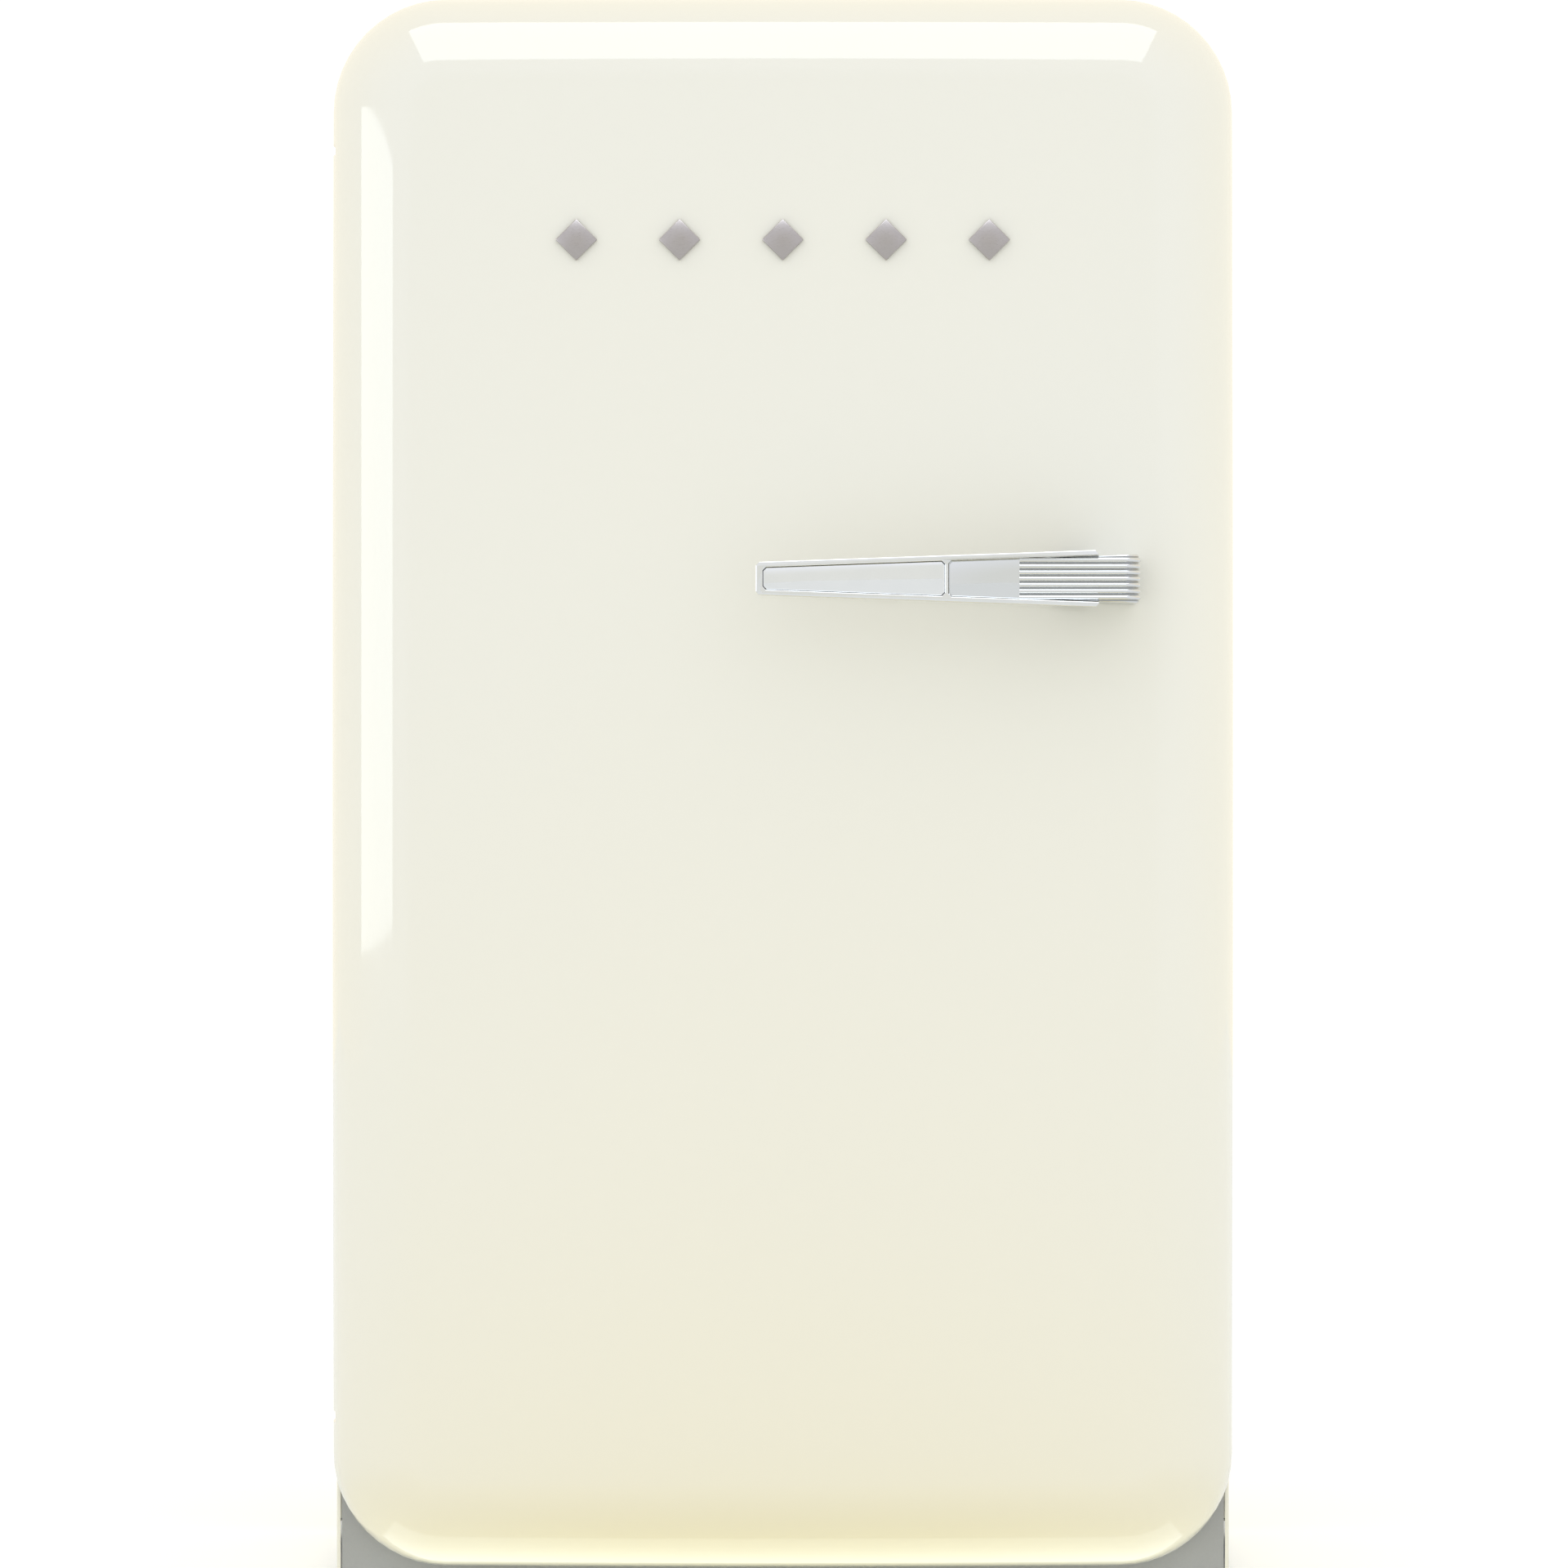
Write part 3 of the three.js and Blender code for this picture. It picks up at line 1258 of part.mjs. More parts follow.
const BADGE = { z: HEIGHT - 150, half: 136, lozenge: 12.5, count: 5, height: 4 };

// A lozenge with a bevelled face, standing off the door.
function badgeStud(x) {
  const { z, lozenge, height } = BADGE;
  const back = faceAt(x, z) - GAP - 0.2;
  const ringAt = (reach, y) =>
    [
      [0, -1],
      [1, 0],
      [0, 1],
      [-1, 0],
    ].map(([u, v]) => new THREE.Vector3(x + u * reach, y, z + v * reach));
  const rings = [ringAt(lozenge, back), ringAt(lozenge, back - height + 1.5)];
  return loft(rings, new THREE.Vector3(x, back - height, z));
}
for (let i = 0; i < BADGE.count; i++) {
  const place = BADGE.lozenge - BADGE.half + (i * 2 * (BADGE.half - BADGE.lozenge)) / (BADGE.count - 1);
  add(`badge_stud_${i + 1}`, badgeStud(place), SATIN_METAL);
}

export default fridge;
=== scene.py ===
"""The looks of a one-door retro refrigerator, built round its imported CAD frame.

The object is in metres, the door's face looks along -Y and the floor is at Z = 0.
Sizes below are in millimetres and MM turns them into metres.
"""

import math

import bmesh
import bpy
from mathutils import Matrix, Vector


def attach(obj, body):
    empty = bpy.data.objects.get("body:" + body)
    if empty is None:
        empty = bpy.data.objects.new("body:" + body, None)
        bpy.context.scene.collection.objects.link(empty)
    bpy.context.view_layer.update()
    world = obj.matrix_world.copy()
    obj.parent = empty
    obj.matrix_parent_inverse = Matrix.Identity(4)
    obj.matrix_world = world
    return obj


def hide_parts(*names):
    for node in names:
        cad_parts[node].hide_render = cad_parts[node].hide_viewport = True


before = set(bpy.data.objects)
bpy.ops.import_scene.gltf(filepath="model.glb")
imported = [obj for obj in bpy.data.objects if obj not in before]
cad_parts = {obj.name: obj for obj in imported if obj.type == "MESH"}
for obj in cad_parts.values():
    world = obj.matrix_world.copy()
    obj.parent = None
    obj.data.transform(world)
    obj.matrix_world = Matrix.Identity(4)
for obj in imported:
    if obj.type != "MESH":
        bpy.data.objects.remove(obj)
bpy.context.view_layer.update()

scene = bpy.context.scene
MM = 0.001

# ---- Camera --------------------------------------------------------------------------------------
# Stands square-on to the middle of the door and far enough back that the cabinet's sides stay hidden.

CAMERA_SPOT = (0.0007, -5.385, 0.4945)
LENS = 196.9
SENSOR = 36

camera = bpy.data.objects.new("camera", bpy.data.cameras.new("camera"))
camera.data.sensor_width = SENSOR
camera.data.lens = LENS
camera.location = CAMERA_SPOT
camera.rotation_euler = (math.pi / 2, 0, 0)
scene.collection.objects.link(camera)
scene.camera = camera

# ---- Studio --------------------------------------------------------------------------------------
# A white room with a pale floor. One long softbox hangs over the door and another stands to its left,
# and the enamel's rounded edges mirror them as two thin strips.


class Wire:
    """A shader socket that Python arithmetic can be done on."""

    def __init__(self, graph, socket):
        self.graph = graph
        self.socket = socket

    def __add__(self, other):
        return self.graph.maths("ADD", self, other)

    __radd__ = __add__

    def __sub__(self, other):
        return self.graph.maths("SUBTRACT", self, other)

    def __rsub__(self, other):
        return self.graph.maths("SUBTRACT", other, self)

    def __mul__(self, other):
        return self.graph.maths("MULTIPLY", self, other)

    __rmul__ = __mul__

    def __truediv__(self, other):
        return self.graph.maths("DIVIDE", self, other)

    def __gt__(self, other):
        return self.graph.maths("GREATER_THAN", self, other)

    def __lt__(self, other):
        return self.graph.maths("LESS_THAN", self, other)


class Graph:
    """A tree of shader or geometry nodes."""

    def __init__(self, tree, prefix):
        self.tree = tree
        self.prefix = prefix

    def node(self, kind, settings=None, sockets=None, out=0, prefix=None):
        made = self.tree.nodes.new((prefix or self.prefix) + kind)
        for name, value in (settings or {}).items():
            setattr(made, name, value)
        for key, value in (sockets or {}).items():
            self.feed(value, made.inputs[key])
        return Wire(self, made.outputs[out]) if len(made.outputs) else made

    def feed(self, value, socket):
        if isinstance(value, Wire):
            self.tree.links.new(value.socket, socket)
        elif socket.type == "RGBA":
            socket.default_value = (*value, 1)
        else:
            socket.default_value = value

    def maths(self, operation, *values):
        return self.node("Math", {"operation": operation}, dict(enumerate(values)), prefix="ShaderNode")

    def blend(self, share, first, second):
        return self.node("Mix", {"data_type": "RGBA"}, {0: share, 6: first, 7: second}, out=2)

    def ramp(self, value, start, stop):
        """Runs from 0 to 1 as a value goes from start to stop."""
        return self.node("MapRange", {}, {"Value": value, "From Min": start, "From Max": stop})


ROOM_FRONT = (1.09, 1.1, 1.14)
ROOM_AHEAD = (0.95, 0.95, 0.9)
ROOM_SIDES = (1.1, 1.035, 0.88)
BACKDROP = (1.1, 1.1, 1.1)
scene.view_settings.view_transform = "Standard"

room = bpy.data.worlds.new("white room")
room.use_nodes = True
scene.world = room
walls = Graph(room.node_tree, "ShaderNode")
towards = walls.node("TexCoord", out="Generated")
facing = walls.node("SeparateXYZ", {}, {"Vector": towards}, out="Y")
paint = walls.blend(walls.ramp(facing, 0.1, -0.8), ROOM_SIDES, ROOM_FRONT)
paint = walls.blend(walls.ramp(facing, -0.93, -0.985), paint, ROOM_AHEAD)
shown = walls.blend(walls.node("LightPath", out="Is Camera Ray"), paint, BACKDROP)
walls.feed(shown, room.node_tree.nodes["Background"].inputs["Color"])

LAMP_COLOUR = (0.86, 0.93, 1.0)


def softbox(name, place, towards, width, length, brightness):
    """A flat lamp that only glossy surfaces show, as a strip of light."""
    lamp = bpy.data.lights.new(name, "AREA")
    lamp.shape = "RECTANGLE"
    lamp.color = LAMP_COLOUR
    lamp.size = width
    lamp.size_y = length
    lamp.energy = brightness * math.pi * width * length
    holder = bpy.data.objects.new(name, lamp)
    holder.location = place
    holder.rotation_euler = (Vector(towards) - Vector(place)).to_track_quat("-Z", "Y").to_euler()
    holder.visible_camera = False
    holder.visible_diffuse = False
    scene.collection.objects.link(holder)
    return holder


softbox("softbox_top", (0, -1.32, 2.5), (0, -1.32, 0), 1.92, 2.36, 2.6)
softbox("softbox_left", (-1.5, -1.077, 0.71), (0, -1.077, 0.71), 1.557, 0.69, 2.6)
softbox("softbox_low", (0, -0.213, 0.002), (0, -0.213, 1), 0.54, 0.06, 0.75).visible_diffuse = True


class Finish(Graph):
    """A material with one Principled shader, whose colour, gloss and relief other nodes can drive."""

    def __init__(self, name, **constants):
        self.material = bpy.data.materials.new(name)
        self.material.use_nodes = True
        super().__init__(self.material.node_tree, "ShaderNode")
        self.shader = self.tree.nodes["Principled BSDF"]
        self.set(**constants)
        self.place = self.node("TexCoord", out="Object")

    def set(self, **values):
        for name, value in values.items():
            self.feed(value, self.shader.inputs[name.replace("_", " ").title().replace("Ior", "IOR")])

    def noise(self, size, detail=2.0, stretch=(1, 1, 1)):
        """Values from about 0.3 to 0.7 in blotches of a size in millimetres."""
        place = self.node("Mapping", {}, {"Vector": self.place, "Scale": stretch})
        return self.node("TexNoise", {}, {"Vector": place, "Scale": 1000 / size, "Detail": detail})

    def mottle(self, pattern, first, second, gloss, spread):
        """Lets a pattern take the colour from one to another, and the roughness from gloss up by spread."""
        self.set(base_color=self.blend(pattern, first, second), roughness=gloss + spread * pattern)

    def relief(self, height, depth):
        """Raises the surface by height, a value from 0 to 1, times a depth in millimetres."""
        self.set(normal=self.node("Bump", {}, {"Height": height, "Distance": depth * MM, "Strength": 1.0}))


def make(name, vertices, faces):
    """A mesh object from corners in millimetres, at the origin, with its faces turned outwards."""
    mesh = bpy.data.meshes.new(name)
    mesh.from_pydata([Vector(corner) * MM for corner in vertices], [], faces)
    shaped = bmesh.new()
    shaped.from_mesh(mesh)
    bmesh.ops.remove_doubles(shaped, verts=shaped.verts, dist=1e-6)
    bmesh.ops.recalc_face_normals(shaped, faces=shaped.faces)
    shaped.to_mesh(mesh)
    shaped.free()
    piece = bpy.data.objects.new(name, mesh)
    scene.collection.objects.link(piece)
    return piece


def floor_sheet(name, height, finish):
    corners = [(x * FLOOR_REACH, y * FLOOR_REACH, height) for x, y in ((-1, -1), (1, -1), (1, 1), (-1, 1))]
    sheet = make(name, corners, [(0, 1, 2, 3)])
    sheet.data.materials.append(finish.material)
    return sheet


# The visible floor burns out to white. A second sheet under it is what the object sees and mirrors:
# close to the door its colour turns warm and a little darker, painted shade that the door mirrors.
FLOOR_REACH = 9000
floor_finish = Finish("studio_floor", base_color=(0.9, 0.9, 0.89))
floor_finish.set(emission_color=(0.88, 0.94, 1.0), emission_strength=0.22)
floor_finish.set(roughness=0.85 + 0.1 * floor_finish.noise(4))
studio_floor = floor_sheet("studio_floor", 0, floor_finish)
studio_floor.visible_diffuse = False
studio_floor.visible_glossy = False
studio_floor.visible_shadow = False
bounce_finish = Finish("floor_bounce", roughness=0.9)
from_door = bounce_finish.node("Mapping", {}, {"Vector": bounce_finish.place, "Location": (0, 0.42, 0)})
spread = bounce_finish.node("VectorMath", {"operation": "LENGTH"}, {0: from_door}, out="Value")
warm_shade_near_door = bounce_finish.ramp(spread, 0.6, 0.2)
# Painted shade: a warm, slightly darker colour near the door, seen only in reflections and bounce light.
bounce_finish.set(base_color=bounce_finish.blend(warm_shade_near_door, (0.87, 0.92, 1.0), (0.95, 0.87, 0.56)))
floor_bounce = floor_sheet("floor_bounce", -1, bounce_finish)
floor_bounce.visible_camera = False

# ---- Cabinet: outer wrap -------------------------------------------------------------------------
# One sheet of enamelled steel, bent over both sides and the top, with its front edge folded in as a
# flange round the mouth. Below the mouth only a narrow folded edge is left beside the plinth.

CABINET_HALF = 271.5
CABINET_TOP = 969
CABINET_FRONT = -166
CABINET_BACK = 288
CORNER = 68
SHEET = 1.2
FLANGE = 46
SKIRT_BOTTOM = 12
SKIRT_TOP = 107
SKIRT_EDGE = 2.4
ARC_STEPS = 14


def arc(start, stop, steps):
    """Angles in radians from start to stop in degrees, both ends counted."""
    return [math.radians(start + (stop - start) * i / steps) for i in range(steps + 1)]


def loft(name, rings, closed=False):
    """Bridges rings of equally many points. Its two end rings are filled, or joined when closed."""
    count = len(rings[0])
    faces = []
    for near in range(len(rings) if closed else len(rings) - 1):
        a, b = near * count, (near + 1) % len(rings) * count
        for i in range(count):
            j = (i + 1) % count
            faces.append((a + i, a + j, b + j, b + i))
    if not closed:
        last = (len(rings) - 1) * count
        faces.append(tuple(range(count)))
        faces.append(tuple(range(last, last + count)))
    return make(name, [point for ring in rings for point in ring], faces)


def bake_modifiers(piece):
    """Turns a piece and its modifiers into a plain mesh."""
    graph = bpy.context.evaluated_depsgraph_get()
    mesh = bpy.data.meshes.new_from_object(piece.evaluated_get(graph))
    piece.modifiers.clear()
    piece.data = mesh


def cut_away(piece, *tools):
    """Cuts closed tools out of a piece and throws them away."""
    for tool in tools:
        boolean = piece.modifiers.new("cut", "BOOLEAN")
        boolean.operation = "DIFFERENCE"
        boolean.solver = "EXACT"
        boolean.object = tool
    bake_modifiers(piece)
    for tool in tools:
        bpy.data.objects.remove(tool)


def slab(name, outline, low, high):
    """An outline in X and Y, made solid from one height to another."""
    return loft(name, [[(x, y, z) for x, y in outline] for z in (low, high)])


def block(name, low, high):
    """A box with square corners."""
    (x0, y0, z0), (x1, y1, z1) = low, high
    return slab(name, [(x0, y0), (x1, y0), (x1, y1), (x0, y1)], z0, z1)


def smooth(piece, angle=35):
    """Smooths the shading, apart from edges sharper than an angle in degrees."""
    piece.data.shade_smooth()
    piece.data.set_sharp_from_angle(angle=math.radians(angle))


def fit(piece, finish, body, slot, *nodes):
    """Gives a piece its finish, fixes it to a body and lets it stand for CAD nodes."""
    piece.data.materials.clear()
    piece.data.materials.append(finish.material)
    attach(piece, body)
    if nodes:
        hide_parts(*nodes)


# Stoved enamel: slow waves of the spray coat, faint colour drift and a clear gloss over it.
cream_enamel = Finish("cream_enamel", roughness=0.06, coat_weight=0.3, coat_roughness=0.02)
drift = cream_enamel.noise(300)
cream_enamel.set(
    base_color=cream_enamel.blend(drift, (0.842, 0.836, 0.762), (0.83, 0.829, 0.766)),
    roughness=0.04 + 0.04 * cream_enamel.noise(9, detail=3),
)
cream_enamel.relief(cream_enamel.noise(3.5, detail=1), 0.004)


def arch_stations():
    """Places round the wrap's outer face from the left foot to the right: x, z, inward turn, limit."""
    straight = CABINET_HALF - CORNER
    crown = CABINET_TOP - CORNER
    skirt = ((SKIRT_BOTTOM, SKIRT_EDGE), (SKIRT_TOP, SKIRT_EDGE), (SKIRT_TOP, FLANGE))
    stations = [(-CABINET_HALF, z, 0, edge) for z, edge in skirt]
    for side, angles in ((-1, arc(180, 90, ARC_STEPS)), (1, arc(90, 0, ARC_STEPS))):
        for angle in angles:
            x = side * straight + CORNER * math.cos(angle)
            stations.append((x, crown + CORNER * math.sin(angle), angle + math.pi, FLANGE))
    stations += [(-x, z, math.pi, edge) for x, z, turn, edge in reversed(stations[:3])]
    return stations


FOLD = 2.2
wrap_section = [(0, CABINET_BACK), (0, CABINET_FRONT + 40), (0, CABINET_FRONT + FOLD)]
for angle in arc(0, 90, 5)[1:]:
    wrap_section.append((FOLD * (1 - math.cos(angle)), CABINET_FRONT + FOLD * (1 - math.sin(angle))))
wrap_section += [
    (FLANGE - 0.5, CABINET_FRONT),
    (FLANGE, CABINET_FRONT + 0.5),
    (FLANGE, CABINET_FRONT + SHEET),
    (SHEET + 1.4, CABINET_FRONT + SHEET),
    (SHEET, CABINET_FRONT + SHEET + 1.4),
    (SHEET, CABINET_BACK),
]
wrap_rings = []
for x, z, turn, edge in arch_stations():
    inward = [(min(inset, edge), y) for inset, y in wrap_section]
    wrap_rings.append([(x + step * math.cos(turn), y, z + step * math.sin(turn)) for step, y in inward])
cabinet_shell = loft("cabinet_shell", wrap_rings)

HINGE_X = -258.5
HINGE_Y = -190
HINGE_HEIGHTS = (878, 113)
LUG_HALF = 8.3
LUG_RISE = 2.8
lug_holes = []
for z in HINGE_HEIGHTS:
    low = (HINGE_X - LUG_HALF, CABINET_FRONT - 2, z - LUG_RISE)
    lug_holes.append(block("hole", low, (HINGE_X + LUG_HALF, CABINET_FRONT + 6, z + LUG_RISE)))
cut_away(cabinet_shell, *lug_holes)
smooth(cabinet_shell)
fit(cabinet_shell, cream_enamel, "cabinet", "cream_enamel", "cabinet_wrap")

# ---- Cabinet: inner liner, foam and evaporator ---------------------------------------------------
# The tub is vacuum-formed in one piece with its runners and the step over the compressor. Foam fills
# the space round it, with the plate evaporator pressed against its back wall.


def join(piece, *others):
    """Adds other meshes to a piece's mesh."""
    shaped = bmesh.new()
    for part in (piece, *others):
        shaped.from_mesh(part.data)
    shaped.to_mesh(piece.data)
    shaped.free()
    for part in others:
        bpy.data.objects.remove(part)


def rounded_edges(piece, width, segments=3, angle=30):
    """Rounds a piece's edges over a width in millimetres, and smooths it."""
    bevel = piece.modifiers.new("edges", "BEVEL")
    bevel.width = width * MM
    bevel.segments = segments
    bevel.angle_limit = math.radians(angle)
    bake_modifiers(piece)
    smooth(piece, 50)


def refined(name, node, width, segments=3, angle=30):
    """A copy of a CAD node with its loose triangles merged and its edges rounded."""
    piece = bpy.data.objects.new(name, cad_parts[node].data.copy())
    scene.collection.objects.link(piece)
    shaped = bmesh.new()
    shaped.from_mesh(piece.data)
    bmesh.ops.remove_doubles(shaped, verts=shaped.verts, dist=2e-5)
    bmesh.ops.dissolve_limit(shaped, angle_limit=math.radians(1), verts=shaped.verts, edges=shaped.edges)
    shaped.to_mesh(piece.data)
    shaped.free()
    rounded_edges(piece, width, segments, angle)
    return piece


# Moulded plastic: a faint grain from the mould, and gloss that varies with it.
white_plastic = Finish("white_plastic", base_color=(0.86, 0.87, 0.86), roughness=0.32)
grain = white_plastic.noise(0.9, detail=4)
white_plastic.set(
    base_color=white_plastic.blend(white_plastic.noise(120), (0.80, 0.812, 0.805), (0.83, 0.84, 0.825)),
    roughness=0.24 + 0.2 * grain,
)
white_plastic.relief(grain, 0.02)

tub = refined("cabinet_tub", "inner_liner", 0.95, 3)
fit(tub, white_plastic, "cabinet", "white_plastic", "inner_liner")


def repaint(node, finish):
    """Gives a CAD node that stays as it is a better finish."""
    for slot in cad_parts[node].material_slots:
        slot.material = finish.material


foam_fill = Finish("foam_fill", base_color=(0.8, 0.72, 0.48), roughness=0.95)
cells = foam_fill.node("TexVoronoi", {}, {"Vector": foam_fill.place, "Scale": 700})
foam_fill.set(base_color=foam_fill.blend(cells, (0.72, 0.62, 0.36), (0.84, 0.77, 0.54)))
foam_fill.relief(cells, 0.4)
repaint("cabinet_foam", foam_fill)
repaint("door_foam", foam_fill)

bare_aluminium = Finish("bare_aluminium", base_color=(0.75, 0.76, 0.77), metallic=1.0, roughness=0.4)
rolling = bare_aluminium.noise(0.5, detail=3, stretch=(0.03, 1, 1))
bare_aluminium.mottle(rolling, (0.68, 0.69, 0.70), (0.80, 0.81, 0.82), 0.32, 0.2)
bare_aluminium.relief(rolling, 0.01)
repaint("evaporator_plate", bare_aluminium)

# ---- Shelves -------------------------------------------------------------------------------------
# Toughened glass with ground edges, lying on the runners. The two upper ones have a chrome-plated rail
# clipped along the front. A third plate covers the crisper.

shelf_glass = Finish("shelf_glass", base_color=(0.93, 0.985, 0.965), roughness=0.03, ior=1.5)
shelf_glass.set(transmission_weight=1.0, roughness=0.02 + 0.04 * shelf_glass.noise(40, detail=4))
for name in ("upper_shelf_glass", "middle_shelf_glass", "crisper_cover"):
    plate = refined(name + "_ground", name, 0.8, 2)
    fit(plate, shelf_glass, "cabinet", "shelf_glass", name)

bright_chrome = Finish("bright_chrome", base_color=(0.73, 0.74, 0.74), metallic=1.0, roughness=0.06)
smear = bright_chrome.noise(14, detail=4)
bright_chrome.mottle(smear, (0.69, 0.7, 0.702), (0.77, 0.778, 0.78), 0.035, 0.05)
bright_chrome.relief(bright_chrome.noise(5), 0.002)
for name in ("upper_shelf_rail", "middle_shelf_rail"):
    rail = refined(name + "_clip", name, 0.6, 3)
    fit(rail, bright_chrome, "cabinet", "chrome", name)

# ---- Bottle rack ---------------------------------------------------------------------------------
# Chrome-plated steel wires, spot-welded: a frame that lies on the runners, rungs from front to back
# and two waved bars that hold bottles on their sides.

RACK_WIRE = 2.4
RACK_LAP = 3.1
RACK_HALF = 219.7
RACK_FRONT = -48
RACK_BACK = 230.8
RACK_LEVEL = 616 + RACK_WIRE + 0.3
CRADLES = 5
CRADLE_DIP = 13


def eased(corners, radius, steps=8):
    """A path through corner points with each inner corner rounded."""
    points = [Vector(corner) for corner in corners]
    path = [points[0]]
    for before, corner, after in zip(points, points[1:], points[2:]):
        reach = min(radius, (before - corner).length / 2, (after - corner).length / 2)
        start = corner + (before - corner).normalized() * reach
        end = corner + (after - corner).normalized() * reach
        for i in range(steps + 1):
            share = i / steps
            path.append(start.lerp(corner, share).lerp(corner.lerp(end, share), share))
    return path + [points[-1]]


def wire(name, path, radius, sides=12):
    """A round wire along a path, with closed ends."""
    points = [Vector(point) for point in path]
    points = [p for i, p in enumerate(points) if i == 0 or (p - points[i - 1]).length > 1e-3]
    ways = [(b - a).normalized() for a, b in zip(points, points[1:])]
    ways = [ways[0]] + [(a + b).normalized() for a, b in zip(ways, ways[1:])] + [ways[-1]]
    across = ways[0].orthogonal().normalized()
    rings = []
    for point, way in zip(points, ways):
        across = (across - way * across.dot(way)).normalized()
        up = way.cross(across)
        spokes = [across * math.cos(a) + up * math.sin(a) for a in arc(0, 360, sides)[:-1]]
        rings.append([point + spoke * radius for spoke in spokes])
    piece = loft(name, rings)
    smooth(piece, 60)
    return piece


def cradle_wave(y):
    points = []
    for step in range(CRADLES * 24 + 1):
        share = step / (CRADLES * 24)
        lift = (math.cos(share * CRADLES * 2 * math.pi) + 1) / 2
        points.append(((2 * share - 1) * RACK_HALF, y, RACK_LEVEL + 2 * RACK_LAP + lift * CRADLE_DIP))
    return points


rack_paths = []
for y in (RACK_FRONT, RACK_BACK):
    rack_paths.append([(-RACK_HALF - 1, y, RACK_LEVEL), (RACK_HALF + 1, y, RACK_LEVEL)])
for share in [-1, *((2 * i + 1) / CRADLES - 1 for i in range(CRADLES)), 1]:
    x, z = share * RACK_HALF, RACK_LEVEL + RACK_LAP
    rack_paths.append([(x, RACK_FRONT - 1, z), (x, RACK_BACK + 1, z)])
rack_paths += [cradle_wave(RACK_FRONT + 45), cradle_wave(RACK_BACK - 55)]
rack_wires = [wire(f"rack_wire_{i}", path, RACK_WIRE) for i, path in enumerate(rack_paths)]
wire_rack = rack_wires[0]
join(wire_rack, *rack_wires[1:])
smooth(wire_rack, 60)
fit(wire_rack, bright_chrome, "cabinet", "chrome", "bottle_rack")

# ---- Crisper drawer ------------------------------------------------------------------------------
# Injection-moulded in clear plastic, with a hooked lip along its front to pull it by. It slides on
# the liner's floor.

CRISPER_HALF = 206
CRISPER_FRONT = -44
CRISPER_BACK = 101.8
CRISPER_LOW = 99.6
CRISPER_HIGH = 234


def round_box(x0, x1, y0, y1, radii, steps=8):
    """Points round a rectangle with round corners, anticlockwise from its upper right."""
    a, b, c, d = radii if isinstance(radii, tuple) else (radii,) * 4
    centres = ((x1 - a, y1 - a, a), (x0 + b, y1 - b, b), (x0 + c, y0 + c, c), (x1 - d, y0 + d, d))
    points = []
    for quarter, (x, y, radius) in enumerate(centres):
        for angle in arc(90 * quarter, 90 * quarter + 90, steps):
            points.append((x + radius * math.cos(angle), y + radius * math.sin(angle)))
    return points


def tray(name, area, low, high, wall, base):
    """An open tray. area gives its outline at an inset, and base is the radius round its floor."""
    lip = wall / 2
    inner = base - wall / 2
    section = [(base * (1 - math.sin(a)), low + base * (1 - math.cos(a))) for a in arc(0, 90, 5)]
    section += [(lip * (1 - math.cos(a)), high - lip * (1 - math.sin(a))) for a in arc(0, 180, 6)]
    for a in arc(0, 90, 5):
        section.append((wall + inner * (1 - math.cos(a)), low + wall + inner * (1 - math.sin(a))))
    return loft(name, [[(x, y, z) for x, y in area(inset)] for inset, z in section])


def crisper_area(inset):
    half = CRISPER_HALF - inset
    return round_box(-half, half, CRISPER_FRONT + inset, CRISPER_BACK - inset, max(16 - inset, 1))


def prism(name, outline, x0, x1):
    """A shape drawn in Y and Z, from x0 to x1."""
    return loft(name, [[(x, y, z) for y, z in outline] for x in (x0, x1)])


crisper_bin = tray("crisper_bin", crisper_area, CRISPER_LOW, CRISPER_HIGH, 2.5, 5)
hook = [(0.5, -4), (-9.5, -4), (-9.5, -14), (-12, -14), (-12, -2.5), (-10.5, -1), (0.5, -1)]
grip = prism("grip", [(CRISPER_FRONT + y, CRISPER_HIGH + z) for y, z in hook], -90, 90)
rounded_edges(grip, 0.7, 2)
join(crisper_bin, grip)
smooth(crisper_bin, 50)

clear_plastic = Finish("clear_plastic", base_color=(0.95, 0.975, 0.985), roughness=0.08, ior=1.49)
clear_plastic.set(transmission_weight=1.0, roughness=0.05 + 0.08 * clear_plastic.noise(25, detail=4))
clear_plastic.relief(clear_plastic.noise(6), 0.03)
fit(crisper_bin, clear_plastic, "crisper", "clear_plastic", "crisper_drawer")

# ---- Lamp and thermostat -------------------------------------------------------------------------
# A moulded housing is screwed to the side wall. It has a ribbed diffuser over the bulb and a fluted
# dial, pushed onto the thermostat's spindle.

lamp_box = refined("lamp_box", "lamp_housing", 1.6, 4)
fit(lamp_box, white_plastic, "cabinet", "white_plastic", "lamp_housing")

lamp_cover = Finish("lamp_cover", base_color=(0.86, 0.85, 0.8), roughness=0.25)
banded = {"Vector": lamp_cover.place, "Scale": 1000 / 12}
prisms = lamp_cover.node("TexWave", {"bands_direction": "Y"}, banded)
lamp_cover.set(base_color=lamp_cover.blend(prisms, (0.8, 0.79, 0.74), (0.88, 0.875, 0.83)))
lamp_cover.relief(prisms, 0.5)
diffuser = refined("lamp_diffuser", "lamp_lens", 0.8, 3)
fit(diffuser, lamp_cover, "cabinet", "lamp_cover", "lamp_lens")

KNOB_PLACE = (190.9, -32, 864.5)
FLUTES = 24


def turned(name, profile, sides=48, flutes=0, depth=0.0, hollow=False):
    """A shape turned about Z from (radius, height) pairs, with flutes in its rim or a hole through it."""
    rings = []
    for radius, z in profile:
        ring = []
        for angle in arc(0, 360, sides)[:-1]:
            reach = radius - (depth * (1 - math.cos(flutes * angle)) / 2 if radius > 3 * depth else 0)
            ring.append((reach * math.cos(angle), reach * math.sin(angle), z))
        rings.append(ring)
    piece = loft(name, rings, closed=hollow)
    smooth(piece, 40)
    return piece


